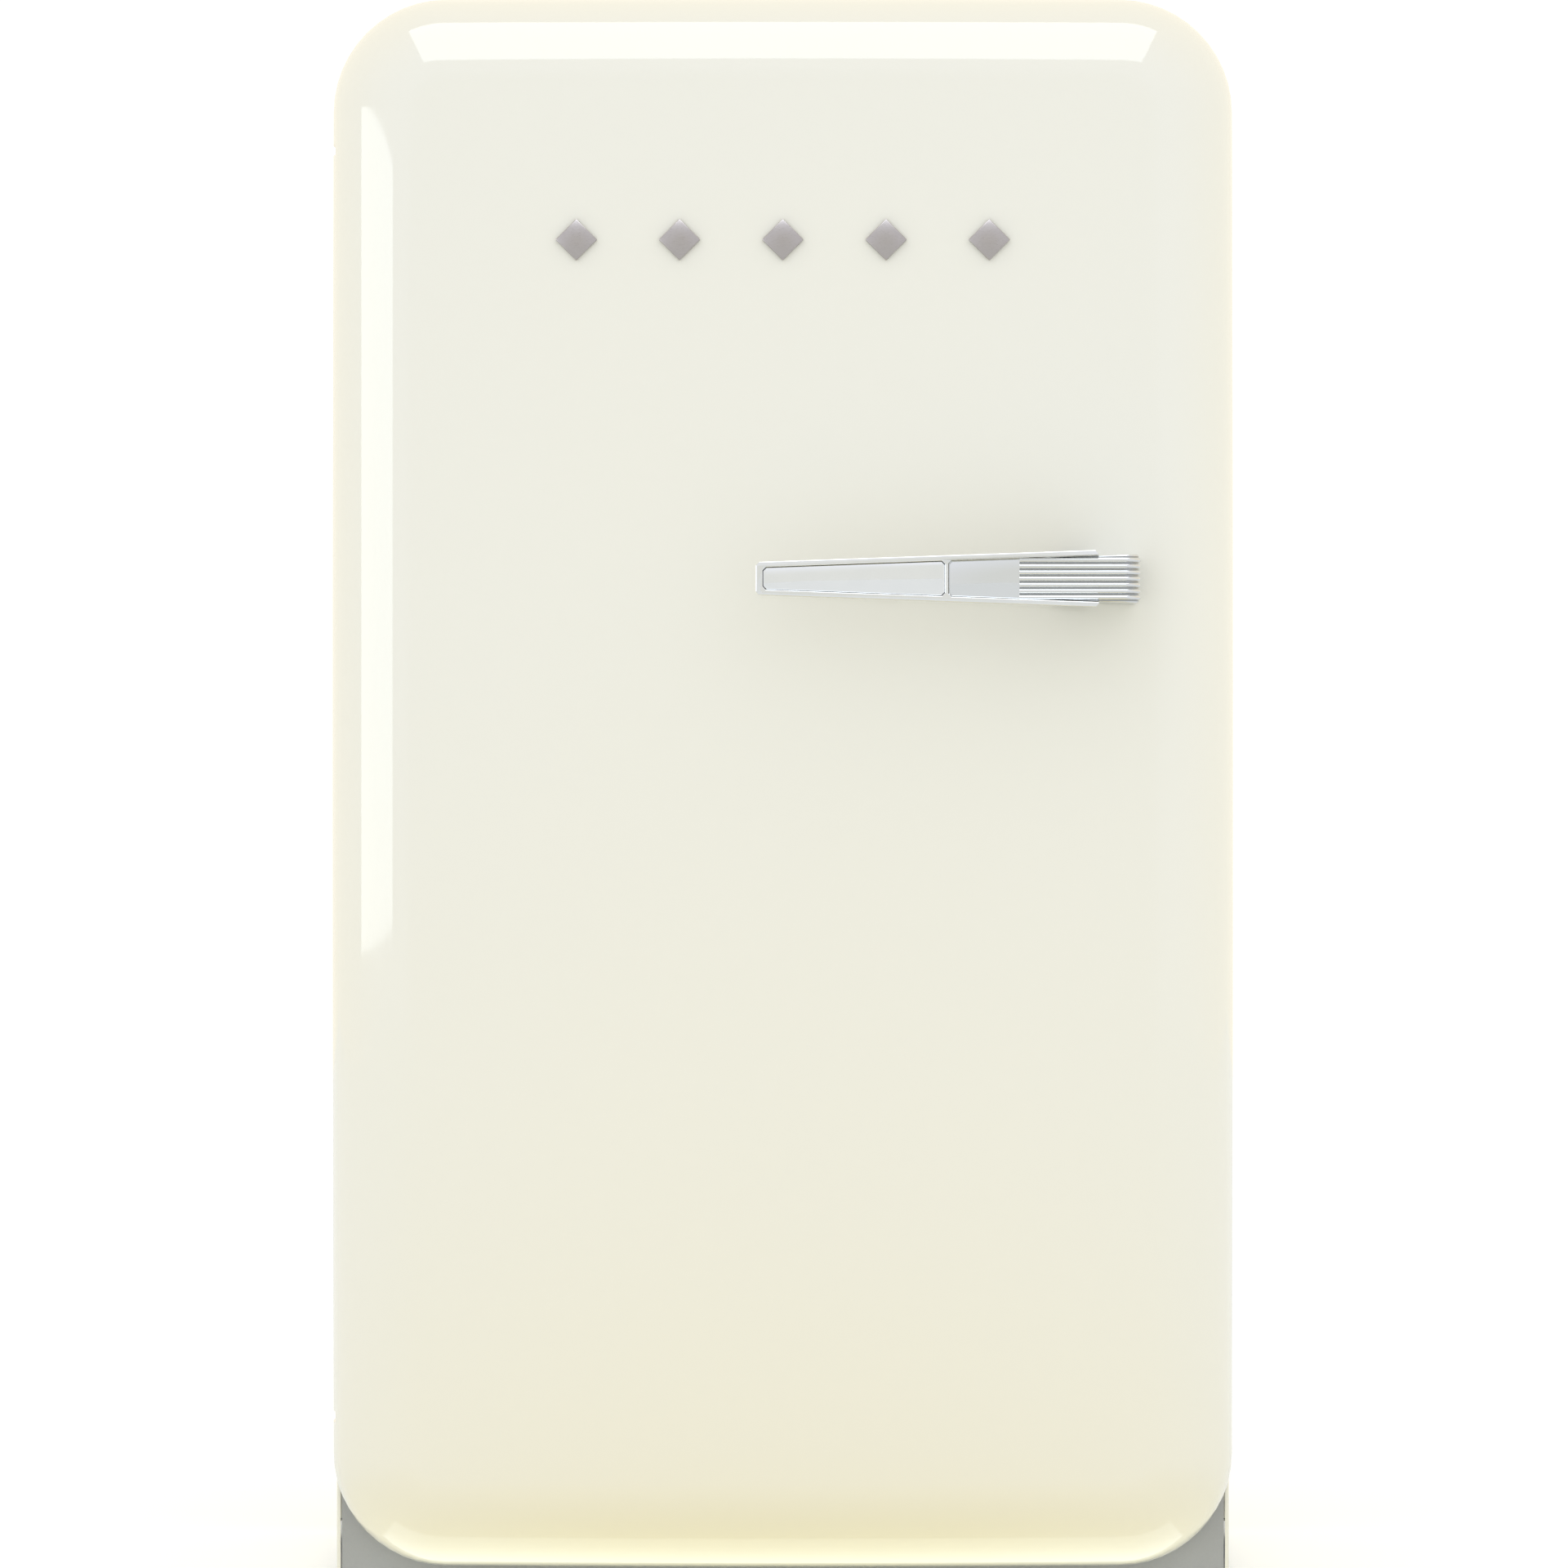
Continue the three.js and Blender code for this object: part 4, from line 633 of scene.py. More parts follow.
def place(piece, spot, turn=None):
    """Moves a piece's mesh, after turning it, to a spot in millimetres."""
    if turn:
        piece.data.transform(turn)
    piece.data.transform(Matrix.Translation(Vector(spot) * MM))


dial_profile = [(2.6, -10), (3, -9.6), (3, 0.5), (13, 0.5), (13.7, 1.2)]
dial_profile += [(14, 2), (13.4, 7.6), (12.8, 8.7), (11.9, 9), (11, 8.6)]
dial = turned("dial", dial_profile, 144, FLUTES, 0.8)
finger_bar = slab("bar", round_box(-2.4, 2.4, -10.6, 10.6, 1.6), 8, 12)
rounded_edges(finger_bar, 0.8)
join(dial, finger_bar)
smooth(dial, 45)
place(dial, KNOB_PLACE, Matrix.Rotation(-math.pi / 2, 4, "Y"))
grey_plastic = Finish("grey_plastic", base_color=(0.4, 0.41, 0.42), roughness=0.4)
fleck = grey_plastic.noise(0.6, detail=4)
grey_plastic.mottle(fleck, (0.36, 0.37, 0.38), (0.44, 0.45, 0.46), 0.3, 0.2)
grey_plastic.relief(fleck, 0.02)
fit(dial, grey_plastic, "thermostat_knob", "grey_plastic", "thermostat_knob")

# ---- Base: pan, plinth and hinge brackets --------------------------------------------------------
# The pan closes the insulation from below and is hot-dip galvanised, as are the hinge brackets. The
# painted plinth is clipped in under the door.

galvanised_steel = Finish("galvanised_steel", base_color=(0.6, 0.61, 0.62), metallic=0.9, roughness=0.45)
spangle = galvanised_steel.node("TexVoronoi", {}, {"Vector": galvanised_steel.place, "Scale": 90}, out=1)
flake = galvanised_steel.node("SeparateColor", {}, {"Color": spangle})
galvanised_steel.mottle(flake, (0.48, 0.49, 0.5), (0.66, 0.67, 0.675), 0.34, 0.22)
galvanised_steel.relief(galvanised_steel.noise(3, detail=3), 0.01)
for name, node in (
    ("floor_pan", "base_pan"),
    ("hinge_plate_top", "hinge_bracket_top"),
    ("hinge_plate_bottom", "hinge_bracket_bottom"),
):
    fit(refined(name, node, 0.35, 2), galvanised_steel, "cabinet", "galvanised_steel", node)

grey_paint = Finish("grey_paint", base_color=(0.37, 0.385, 0.405), roughness=0.45)
peel = grey_paint.noise(1.6, detail=3)
grey_paint.mottle(peel, (0.355, 0.37, 0.39), (0.388, 0.403, 0.424), 0.38, 0.16)
grey_paint.relief(peel, 0.03)
fit(refined("plinth_panel", "plinth", 0.5, 3), grey_paint, "cabinet", "grey_paint", "plinth")

# ---- Feet and rollers ----------------------------------------------------------------------------
# Two levelling feet screw up into bosses under the front edge. The back rolls on two moulded wheels
# with a ribbed web, on steel axles.

black_plastic = Finish("black_plastic", base_color=(0.03, 0.031, 0.033), roughness=0.5)
spark = black_plastic.noise(0.5, detail=4)
black_plastic.mottle(spark, (0.022, 0.023, 0.025), (0.042, 0.043, 0.046), 0.36, 0.3)
black_plastic.relief(spark, 0.03)

FOOT_X = 222
FOOT_Y = -130
THREAD_PITCH = 1.5
THREAD_LOW = 14.4
THREAD_HIGH = 50
foot_profile = [(15.4, 0), (17, 0.6), (18, 2), (18, 5.4), (17.4, 6.2)]
foot_profile += [(13, 8), (9.2, 8.6), (8.4, 9.4), (8.2, 13), (5, 13.6)]
level = THREAD_LOW
while level < THREAD_HIGH:
    foot_profile += [(5, level), (4.4, level + THREAD_PITCH / 2)]
    level += THREAD_PITCH
foot_profile += [(5, THREAD_HIGH + 0.6), (4.2, THREAD_HIGH + 2)]
for side, x in (("left", -FOOT_X), ("right", FOOT_X)):
    foot = turned(f"levelling_foot_{side}", foot_profile, 36, 12, 0.5)
    place(foot, (x, FOOT_Y, 0))
    fit(foot, black_plastic, f"{side}_foot", "black_plastic", f"front_foot_{side}")

WHEEL_X = 232
WHEEL_Y = 254
WHEEL_RADIUS = 14.77
AXLE_HEIGHT = 14.772
wheel_profile = [(3.6, -7), (6.2, -7), (6.6, -6.4), (6.6, -4.6)]
wheel_profile += [(12, -4.6), (12.4, -6.6), (13.6, -7), (WHEEL_RADIUS, -5.6)]
wheel_profile += [(radius, -z) for radius, z in reversed(wheel_profile)]
for side, x in (("left", -WHEEL_X), ("right", WHEEL_X)):
    wheel = turned(f"transport_wheel_{side}", wheel_profile, 40, hollow=True)
    place(wheel, (x, WHEEL_Y, AXLE_HEIGHT), Matrix.Rotation(math.pi / 2, 4, "Y"))
    fit(wheel, black_plastic, f"{side}_roller", "black_plastic", f"rear_roller_{side}")

# ---- Compressor ----------------------------------------------------------------------------------
# A sealed shell of two deep-drawn steel halves, lapped and welded round the middle and painted black,
# on a foot plate held by rubber spools. The start relay clips on under a moulded cover.

black_paint = Finish("black_paint", base_color=(0.018, 0.019, 0.021), roughness=0.35)
orange_peel = black_paint.noise(2.2, detail=2)
black_paint.set(
    base_color=black_paint.blend(black_paint.noise(30, detail=5), (0.013, 0.014, 0.016), (0.03, 0.03, 0.032)),
    roughness=0.25 + 0.25 * orange_peel,
)
black_paint.relief(orange_peel, 0.06)

SHELL_X = -40
SHELL_Y = 219.9
SHELL_RADIUS = 56
LAP_RADIUS = 58.5
SHELL_STRETCH = 1.3
SHELL_LOW = 43.5
SHELL_HIGH = 165.5
FOOT_PLATE = 44
seam = SHELL_LOW + (SHELL_HIGH - SHELL_LOW) * 0.52
bowl = [(30, 0), (40, 1.6), (48, 6), (52.5, 13), (54.6, 24)]
lap = [(SHELL_RADIUS, -9), (57.6, -7.4), (LAP_RADIUS, -5), (LAP_RADIUS, -0.6), (58, 0)]
lap += [(55.6, 0.4), (56.4, 1.6), (55.2, 2.8), (55, 8)]
shell_profile = [(radius, SHELL_LOW + z) for radius, z in bowl]
shell_profile += [(radius, seam + z) for radius, z in lap]
for a in arc(20, 84, 12):
    rise = (SHELL_HIGH - seam - 8) * math.sin(a)
    shell_profile.append((SHELL_RADIUS * math.cos(a) ** 0.45, seam + 8 + rise))
shell = turned("compressor_shell", shell_profile, 72)
place(shell, (SHELL_X, SHELL_Y, 0), Matrix.Diagonal((SHELL_STRETCH, 1, 1, 1)))

grommet_spots = [(SHELL_X + u * 74, SHELL_Y + v * 44) for u in (-1, 1) for v in (-1, 1)]
plate_outline = round_box(SHELL_X - 86, SHELL_X + 86, SHELL_Y - 54, SHELL_Y + 54, 12)
foot_plate = slab("foot_plate", plate_outline, FOOT_PLATE - 3, FOOT_PLATE)
holes = []
for x, y in grommet_spots:
    hole = turned("hole", [(7, -9), (7, 9)], 24)
    place(hole, (x, y, FOOT_PLATE))
    holes.append(hole)
cut_away(foot_plate, *holes)
rounded_edges(foot_plate, 0.8, 2, 40)
tube_path = [(-104, SHELL_Y - 22, 92), (-134, SHELL_Y - 22, 92), (-134, SHELL_Y - 30, 120)]
charging_tube = wire("tube", eased(tube_path, 10), 3.1)
join(shell, foot_plate, charging_tube)
smooth(shell, 40)
fit(shell, black_paint, "cabinet", "black_paint", "compressor")

black_rubber = Finish("black_rubber", base_color=(0.04, 0.04, 0.04), roughness=0.75)
bloom = black_rubber.noise(5, detail=5)
black_rubber.mottle(bloom, (0.026, 0.026, 0.027), (0.07, 0.07, 0.068), 0.6, 0.3)
black_rubber.relief(black_rubber.noise(0.8, detail=3), 0.05)
SPOOL_FOOT = 36.3
spool_profile = [(3, 0), (9.2, 0), (10, 0.8), (10, 3.8), (9.2, 4.6), (6.6, 4.9)]
spool_profile += [(6.6, 8.1), (9.2, 8.4), (9.7, 9.2), (8.5, 12), (3, 12)]
for number, (x, y) in enumerate(grommet_spots, 1):
    spool = turned(f"rubber_spool_{number}", spool_profile, 32, hollow=True)
    smooth(spool, 50)
    place(spool, (x, y, SPOOL_FOOT))
    fit(spool, black_rubber, "cabinet", "black_rubber", f"compressor_grommet_{number}")

relay_box = refined("relay_box", "start_relay_cover", 1.2, 3, 40)
fit(relay_box, black_plastic, "cabinet", "black_plastic", "start_relay_cover")


def tray_area(inset):
    along, across = 82 - inset, 50 - inset
    sides = (SHELL_X - along, SHELL_X + along, SHELL_Y - across, SHELL_Y + across)
    return round_box(*sides, max(14 - inset, 1))


defrost_tray = tray("defrost_tray", tray_area, 165.9, 198.2, 2, 4)
smooth(defrost_tray, 50)
fit(defrost_tray, black_plastic, "cabinet", "black_plastic", "drip_tray")

carrier = refined("carrier_plate", "compressor_carrier", 0.5, 2)
fit(carrier, galvanised_steel, "cabinet", "galvanised_steel", "compressor_carrier")

# ---- Condenser and pipework ----------------------------------------------------------------------
# Painted steel tube bent back and forth over the back, with thin upright wires spot-welded across it.
# Copper pipes join it to the compressor, by way of the filter drier and its fine capillary.

TUBE_RADIUS = 2.6
TUBE_Y = 302
TUBE_HALF = 200
TUBE_TOP = 848
TUBE_LOW = 268
PASSES = 11
DRIER_X = 150
DRIER_Y = 262
pitch = (TUBE_TOP - TUBE_LOW) / (PASSES - 1)
bend = pitch / 2
flank = SHELL_X - LAP_RADIUS * SHELL_STRETCH
run = eased(
    [
        (flank + 14, SHELL_Y + 16, 70),
        (flank - 24, SHELL_Y + 16, 70),
        (flank - 24, TUBE_Y, 70),
        (-TUBE_HALF - 12, TUBE_Y, 120),
        (-TUBE_HALF - 12, TUBE_Y, TUBE_TOP),
        (bend - TUBE_HALF, TUBE_Y, TUBE_TOP),
    ],
    10,
)
for level in range(PASSES):
    side = -1 if level % 2 else 1
    z = TUBE_TOP - level * pitch
    if level < PASSES - 1:
        for angle in arc(90, -90, 16):
            out = bend * math.cos(angle)
            run.append(Vector((side * (TUBE_HALF - bend + out), TUBE_Y, z - bend + bend * math.sin(angle))))
inner = TUBE_HALF - bend
fall = [
    (inner, TUBE_Y, TUBE_LOW),
    (inner + 15, TUBE_Y, TUBE_LOW),
    (inner + 15, TUBE_Y, 226),
    (DRIER_X, TUBE_Y, 196),
    (DRIER_X, TUBE_Y, 184),
    (DRIER_X, DRIER_Y, 184),
    (DRIER_X, DRIER_Y, 166.3),
]
run += eased(fall, 6)
condenser_coil = wire("condenser_coil", run, TUBE_RADIUS, 12)
fit(condenser_coil, black_paint, "cabinet", "black_paint", "condenser_tube")


def by_nodes(piece, tree, **values):
    """Runs a piece through a tree of geometry nodes and keeps the plain mesh that comes out."""
    modifier = piece.modifiers.new(tree.name, "NODES")
    modifier.node_group = tree
    for item in tree.interface.items_tree:
        if item.item_type == "SOCKET" and item.in_out == "INPUT" and item.name in values:
            modifier[item.identifier] = values[item.name]
    bake_modifiers(piece)


class Grower(Graph):
    """A geometry node tree with named inputs."""

    def __init__(self, name, **inputs):
        tree = bpy.data.node_groups.new(name, "GeometryNodeTree")
        super().__init__(tree, "GeometryNode")
        tree.interface.new_socket("Geometry", in_out="INPUT", socket_type="NodeSocketGeometry")
        for label, kind in inputs.items():
            tree.interface.new_socket(label, in_out="INPUT", socket_type="NodeSocket" + kind)
        tree.interface.new_socket("Geometry", in_out="OUTPUT", socket_type="NodeSocketGeometry")
        self.source = tree.nodes.new("NodeGroupInput")

    def input(self, label):
        return Wire(self, self.source.outputs[label])

    def vector(self, x, y, z):
        return self.node("CombineXYZ", {}, {"X": x, "Y": y, "Z": z}, prefix="ShaderNode")

    def result(self, geometry):
        """Makes copies real, gives them the finish and sends them out."""
        real = self.node("RealizeInstances", {}, {0: geometry})
        painted = self.node("SetMaterial", {}, {"Geometry": real, "Material": self.input("Finish")})
        end = self.tree.nodes.new("NodeGroupOutput")
        self.feed(painted, end.inputs[0])


def points_mesh(name, spots, facing=(0, 1, 0)):
    """Bare points in millimetres that a node tree puts its copies on, facing one way."""
    piece = bpy.data.objects.new(name, bpy.data.meshes.new(name))
    piece.data.from_pydata([Vector(spot) * MM for spot in spots], [], [])
    ways = piece.data.attributes.new("facing", "FLOAT_VECTOR", "POINT")
    for item in ways.data:
        item.vector = facing
    scene.collection.objects.link(piece)
    return piece


cross_wires = Grower("cross_wires", Length="Float", Radius="Float", Finish="Material")
size = {"Vertices": 6, "Radius": cross_wires.input("Radius"), "Depth": cross_wires.input("Length")}
placing = {"Points": cross_wires.input("Geometry"), "Instance": cross_wires.node("MeshCylinder", {}, size)}
cross_wires.result(cross_wires.node("InstanceOnPoints", {}, placing))
WIRE_PITCH = 7.5
WIRE_RADIUS = 0.7
wire_y = TUBE_Y + TUBE_RADIUS + WIRE_RADIUS - 0.2
wire_spots = [(x * WIRE_PITCH, wire_y, (TUBE_TOP + TUBE_LOW) / 2) for x in range(-25, 26)]
condenser_wires = points_mesh("condenser_wires", wire_spots)
wire_sizes = {"Length": (TUBE_TOP - TUBE_LOW + 24) * MM, "Radius": WIRE_RADIUS * MM}
by_nodes(condenser_wires, cross_wires.tree, Finish=black_paint.material, **wire_sizes)
fit(condenser_wires, black_paint, "cabinet", "black_paint")

for side in ("left", "right"):
    channel = refined(f"coil_channel_{side}", f"condenser_bracket_{side}", 0.4, 2)
    fit(channel, black_paint, "cabinet", "black_paint", f"condenser_bracket_{side}")
    spacer = refined(f"wall_stop_{side}", f"wall_spacer_{side}", 2.5, 4)
    fit(spacer, black_plastic, "cabinet", "black_plastic", f"wall_spacer_{side}")

copper = Finish("copper", base_color=(0.72, 0.36, 0.2), metallic=1.0, roughness=0.3)
tarnish = copper.noise(12, detail=5)
copper.mottle(tarnish, (0.5, 0.23, 0.12), (0.8, 0.42, 0.26), 0.22, 0.3)
copper.relief(copper.noise(2, detail=3), 0.01)
drier_profile = [(3, 74), (3.4, 74.5), (3.4, 81), (4.4, 83.4), (8, 89)]
drier_profile += [(9, 92), (9, 94), (8.6, 94.6), (9, 95.2)]
drier_profile += [(radius, 240 - z) for radius, z in reversed(drier_profile)]
drier = turned("drier_can", drier_profile, 40)
place(drier, (DRIER_X, DRIER_Y, 0))
fit(drier, copper, "cabinet", "copper", "filter_drier")

suction_path = [
    (flank + 14, SHELL_Y, 92),
    (flank - 40, SHELL_Y, 92),
    (flank - 40, SHELL_Y, 130),
    (flank - 70, SHELL_Y + 30, 150),
    (flank - 70, SHELL_Y + 30, 200.2),
]
suction_pipe = wire("suction_pipe", eased(suction_path, 12), 3)
fit(suction_pipe, copper, "cabinet", "copper", "suction_line")

CAPILLARY_TURNS = 3
CAPILLARY_COIL = 18
COIL_STEPS = 24
capillary_path = [(DRIER_X, DRIER_Y, 74.5), (DRIER_X, DRIER_Y, 62), (DRIER_X, DRIER_Y - 14, 54)]
for step in range(CAPILLARY_TURNS * COIL_STEPS):
    angle = step * math.tau / COIL_STEPS - math.pi / 2
    x = DRIER_X + CAPILLARY_COIL + CAPILLARY_COIL * math.cos(angle)
    y = DRIER_Y - 32 + CAPILLARY_COIL * math.sin(angle) + CAPILLARY_COIL
    capillary_path.append((x, y, 56 + step * 0.13))
for dx, dy, z in ((40, -30, 80), (44, -40, 120), (44, -44, 200.2)):
    capillary_path.append((DRIER_X + dx, DRIER_Y + dy, z))
capillary = wire("capillary_tube", eased(capillary_path, 4, 3), 0.9, 8)
fit(capillary, copper, "cabinet", "copper")

# ---- Back panel, drain and screws ----------------------------------------------------------------
# The back sheet is pre-painted steel, screwed to the wrap's folded edge. The drain tube brings the
# defrost water through the insulation to the tray on the warm compressor.

back_sheet = Finish("back_sheet", base_color=(0.6, 0.61, 0.6), roughness=0.5)
leather = back_sheet.noise(2.4, detail=4)
back_sheet.mottle(leather, (0.56, 0.57, 0.565), (0.66, 0.665, 0.66), 0.42, 0.2)
back_sheet.relief(leather, 0.08)
rear_sheet = refined("rear_sheet", "back_panel", 0.4, 2)
fit(rear_sheet, back_sheet, "cabinet", "back_sheet", "back_panel")

DRAIN_X = -40
DRAIN_Y = 220.8
drain_profile = [(5.2, 192), (7, 192), (7, 240.2), (11, 240.2)]
drain_profile += [(11, 241), (10.6, 241.5), (6.4, 241.5), (5.2, 240.4)]
funnel = turned("drain_funnel", drain_profile, 32, hollow=True)
place(funnel, (DRAIN_X, DRAIN_Y, 0))
fit(funnel, white_plastic, "cabinet", "white_plastic", "drain_tube")

screws = Grower("screws", Size="Float", Finish="Material")
shank = screws.node("MeshCylinder", {}, {"Vertices": 20, "Radius": 1.0, "Depth": 0.5})
dome = screws.node("MeshUVSphere", {}, {"Segments": 20, "Rings": 10, "Radius": 1.0})
flattened = {"Geometry": dome, "Scale": (0.98, 0.98, 0.45), "Translation": (0, 0, 0.18)}
flat_dome = screws.node("Transform", {}, flattened)
cutting = {"operation": "DIFFERENCE", "solver": "EXACT"}
head = screws.node("MeshBoolean", cutting, {"Mesh 1": flat_dome}).socket.node
for size in ((1.1, 0.24, 0.6), (0.24, 1.1, 0.6)):
    slot = screws.node("MeshCube", {}, {"Size": size})
    raised = screws.node("Transform", {}, {"Geometry": slot, "Translation": (0, 0, 0.72)})
    screws.feed(raised, head.inputs["Mesh 2"])
whole = screws.node("JoinGeometry", {}, {})
for part in (shank, Wire(screws, head.outputs[0])):
    screws.feed(part, whole.socket.node.inputs[0])
facing = screws.node("InputNamedAttribute", {"data_type": "FLOAT_VECTOR"}, {"Name": "facing"})
turn = screws.node("AlignRotationToVector", {"axis": "Z"}, {"Vector": facing}, prefix="FunctionNode")
placing = {"Points": screws.input("Geometry"), "Instance": whole, "Rotation": turn}
placing["Scale"] = screws.input("Size")
screws.result(screws.node("InstanceOnPoints", {}, placing))
zinc = Finish("zinc_plating", base_color=(0.62, 0.63, 0.6), metallic=1.0, roughness=0.35)
haze = zinc.noise(3, detail=4)
zinc.mottle(haze, (0.5, 0.51, 0.5), (0.72, 0.72, 0.68), 0.28, 0.2)

SHEET_SCREWS = ((258, 230), (258, 470), (258, 710), (120, 955))
BRACKET_SCREWS = ((150, 256), (150, 860))
back_spots = [(side * x, CABINET_BACK + 0.4, z) for side in (-1, 1) for x, z in SHEET_SCREWS]
back_spots += [(side * x, CABINET_BACK + 1.7, z) for side in (-1, 1) for x, z in BRACKET_SCREWS]
back_screws = points_mesh("back_screws", back_spots)
by_nodes(back_screws, screws.tree, Size=3.4 * MM, Finish=zinc.material)
smooth(back_screws, 40)
fit(back_screws, zinc, "cabinet", "galvanised_steel")

spool_bolts = points_mesh("spool_bolts", [(x, y, 48.6) for x, y in grommet_spots], (0, 0, 1))
by_nodes(spool_bolts, screws.tree, Size=6.5 * MM, Finish=zinc.material)
smooth(spool_bolts, 40)
fit(spool_bolts, zinc, "cabinet", "galvanised_steel")

# ---- Door: outer skin ----------------------------------------------------------------------------
# Pressed from one enamelled steel sheet, crowned like a cushion, with its edge hemmed in behind.
# Two slots in the hinge side let the cabinet's lugs in.

DOOR_HALF = 272.5
DOOR_HALF_HEIGHT = 474.5
DOOR_MIDDLE = 495.5
DOOR_FRONT = -256
DOOR_BACK = -176
EDGE_WALL = 18
EDGE_ROUND = 54
SIDE_BOW = 0.8
END_BOW = 1.6
CROWN = 5
HEM = 12
LUG_SWING = 19


def bowed(flat, half, tall, y):
    """Stands a flat outline up at Y, about the door's middle, with its four sides bowed outwards."""
    outline = []
    for x, z in flat:
        across = x * (1 - SIDE_BOW / half * (z / tall) ** 2)
        along = z * (1 - END_BOW / tall * (x / half) ** 2)
        outline.append((across, y, along + DOOR_MIDDLE))
    return outline


def door_outline(inset, y):
    """Points round the door, drawn in by inset. Its four sides bow outwards a little."""
    half, tall, radius = DOOR_HALF - inset, DOOR_HALF_HEIGHT - inset, CORNER - inset
    flat = []
    for quarter in range(4):
        side = 1 if quarter in (0, 3) else -1
        end = 1 if quarter < 2 else -1
        for angle in arc(90 * quarter, 90 * quarter + 90, 12):
            x = side * (half - radius) + radius * math.cos(angle)
            flat.append((x, end * (tall - radius) + radius * math.sin(angle)))
        steps = 22 if quarter % 2 else 14
        x, z = flat[-1]
        for step in range(1, steps):
            across = -2 * side * (half - radius) * step / steps if quarter % 2 == 0 else 0
            along = -2 * end * (tall - radius) * step / steps if quarter % 2 else 0
            flat.append((x + across, z + along))
    return bowed(flat, half, tall, y)


def face_at(x, z):
    """How far forward the crowned face lies."""
    across = x / (DOOR_HALF - EDGE_ROUND)
    along = (z - DOOR_MIDDLE) / (DOOR_HALF_HEIGHT - EDGE_ROUND)
    return DOOR_FRONT + CROWN * (across**2 + along**2) / 2


def pressing(inset):
    """Rings of the pressed face at a depth below the enamel, from its upright edge to its middle."""
    wall = DOOR_BACK - EDGE_WALL
    brow = [(x, face_at(x, z) + inset, z) for x, _, z in door_outline(EDGE_ROUND, 0)]
    rings = []
    for angle in arc(0, 90, 16):
        drawn = door_outline(inset + (EDGE_ROUND - inset) * (1 - math.cos(angle)), 0)
        reach = [wall + (y - wall) * math.sin(angle) for _, y, _ in brow]
        rings.append([(x, y, z) for (x, _, z), y in zip(drawn, reach)])
    for share in (0.85, 0.7, 0.55, 0.4, 0.25, 0.1):
        inner = [(x * share, DOOR_MIDDLE + (z - DOOR_MIDDLE) * share) for x, _, z in brow]
        rings.append([(x, face_at(x, z) + inset, z) for x, z in inner])
    return rings


skin_rings = pressing(SHEET)[::-1]
skin_rings += [door_outline(SHEET, DOOR_BACK - SHEET), door_outline(HEM, DOOR_BACK - SHEET)]
skin_rings += [door_outline(HEM, DOOR_BACK)]
for a in arc(0, 90, 4):
    skin_rings.append(door_outline(SHEET * (1 - math.sin(a)), DOOR_BACK - SHEET * (1 - math.cos(a))))
skin_rings += pressing(0)
door_shell = loft("door_shell", skin_rings)


def lug_slots():
    """Room in the door for the hinge lugs, through the whole swing."""
    return [
        block("slot", (-300, HINGE_Y - LUG_SWING, z - 3.7), (HINGE_X + 10, CABINET_FRONT, z + LUG_RISE))
        for z in HINGE_HEIGHTS
    ]


cut_away(door_shell, *lug_slots())
smooth(door_shell, 40)
fit(door_shell, cream_enamel, "door", "cream_enamel", "door_skin")

# ---- Door: inner liner ---------------------------------------------------------------------------
# Vacuum-formed from white plastic sheet. A hollow ridge stands round it, which fills the cabinet's
# mouth and holds the balconies on small ledges.

LINER_SHEET = 2.5
RIDGE_HALF = 207.2
RIDGE_LOW = 112
RIDGE_HIGH = 908
RIDGE_WIDTH = 27
RIDGE_CREST = -118
RIDGE_CORNER = 24
LINER_BASE_ROUND = 5
LINER_CREST_ROUND = 7


def ridge_ring(inset, y):
    """A ring round the ridge, drawn in from its outer side. Its corners tighten, then widen again."""
    radius = RIDGE_CORNER - inset if inset < RIDGE_WIDTH / 2 else RIDGE_CORNER + 13 - inset
    half = RIDGE_HALF - inset
    outline = round_box(-half, half, RIDGE_LOW + inset, RIDGE_HIGH - inset, radius, 12)
    return [(x, y, z) for x, z in outline]


def liner_outline(y):
    """The liner's own edge, with as many points as a ridge ring has, in the same order."""
    inset = HEM + 0.3
    half, tall, radius = DOOR_HALF - inset, DOOR_HALF_HEIGHT - inset, CORNER - inset
    return bowed(round_box(-half, half, -tall, tall, radius, 12), half, tall, y)


under, crest = DOOR_BACK - LINER_SHEET, RIDGE_CREST - LINER_SHEET
within = RIDGE_WIDTH - LINER_SHEET
liner_rings = [ridge_ring(RIDGE_WIDTH + 2.5, under), ridge_ring(within, under)]
liner_rings += [ridge_ring(within, crest), ridge_ring(LINER_SHEET, crest)]
liner_rings += [ridge_ring(LINER_SHEET, under), liner_outline(under), liner_outline(DOOR_BACK)]
foot, crown = LINER_BASE_ROUND, LINER_CREST_ROUND
for a in arc(0, 90, 5):
    liner_rings.append(ridge_ring(-foot * (1 - math.sin(a)), DOOR_BACK + foot * (1 - math.cos(a))))
for a in arc(0, 90, 6):
    liner_rings.append(ridge_ring(crown * (1 - math.cos(a)), RIDGE_CREST - crown * (1 - math.sin(a))))
for a in arc(0, 90, 6):
    inset = RIDGE_WIDTH - crown * (1 - math.sin(a))
    liner_rings.append(ridge_ring(inset, RIDGE_CREST - crown * (1 - math.cos(a))))
for a in arc(0, 90, 5):
    inset = RIDGE_WIDTH + foot * (1 - math.cos(a))
    liner_rings.append(ridge_ring(inset, DOOR_BACK + foot * (1 - math.sin(a))))
door_lining = loft("door_lining", liner_rings)

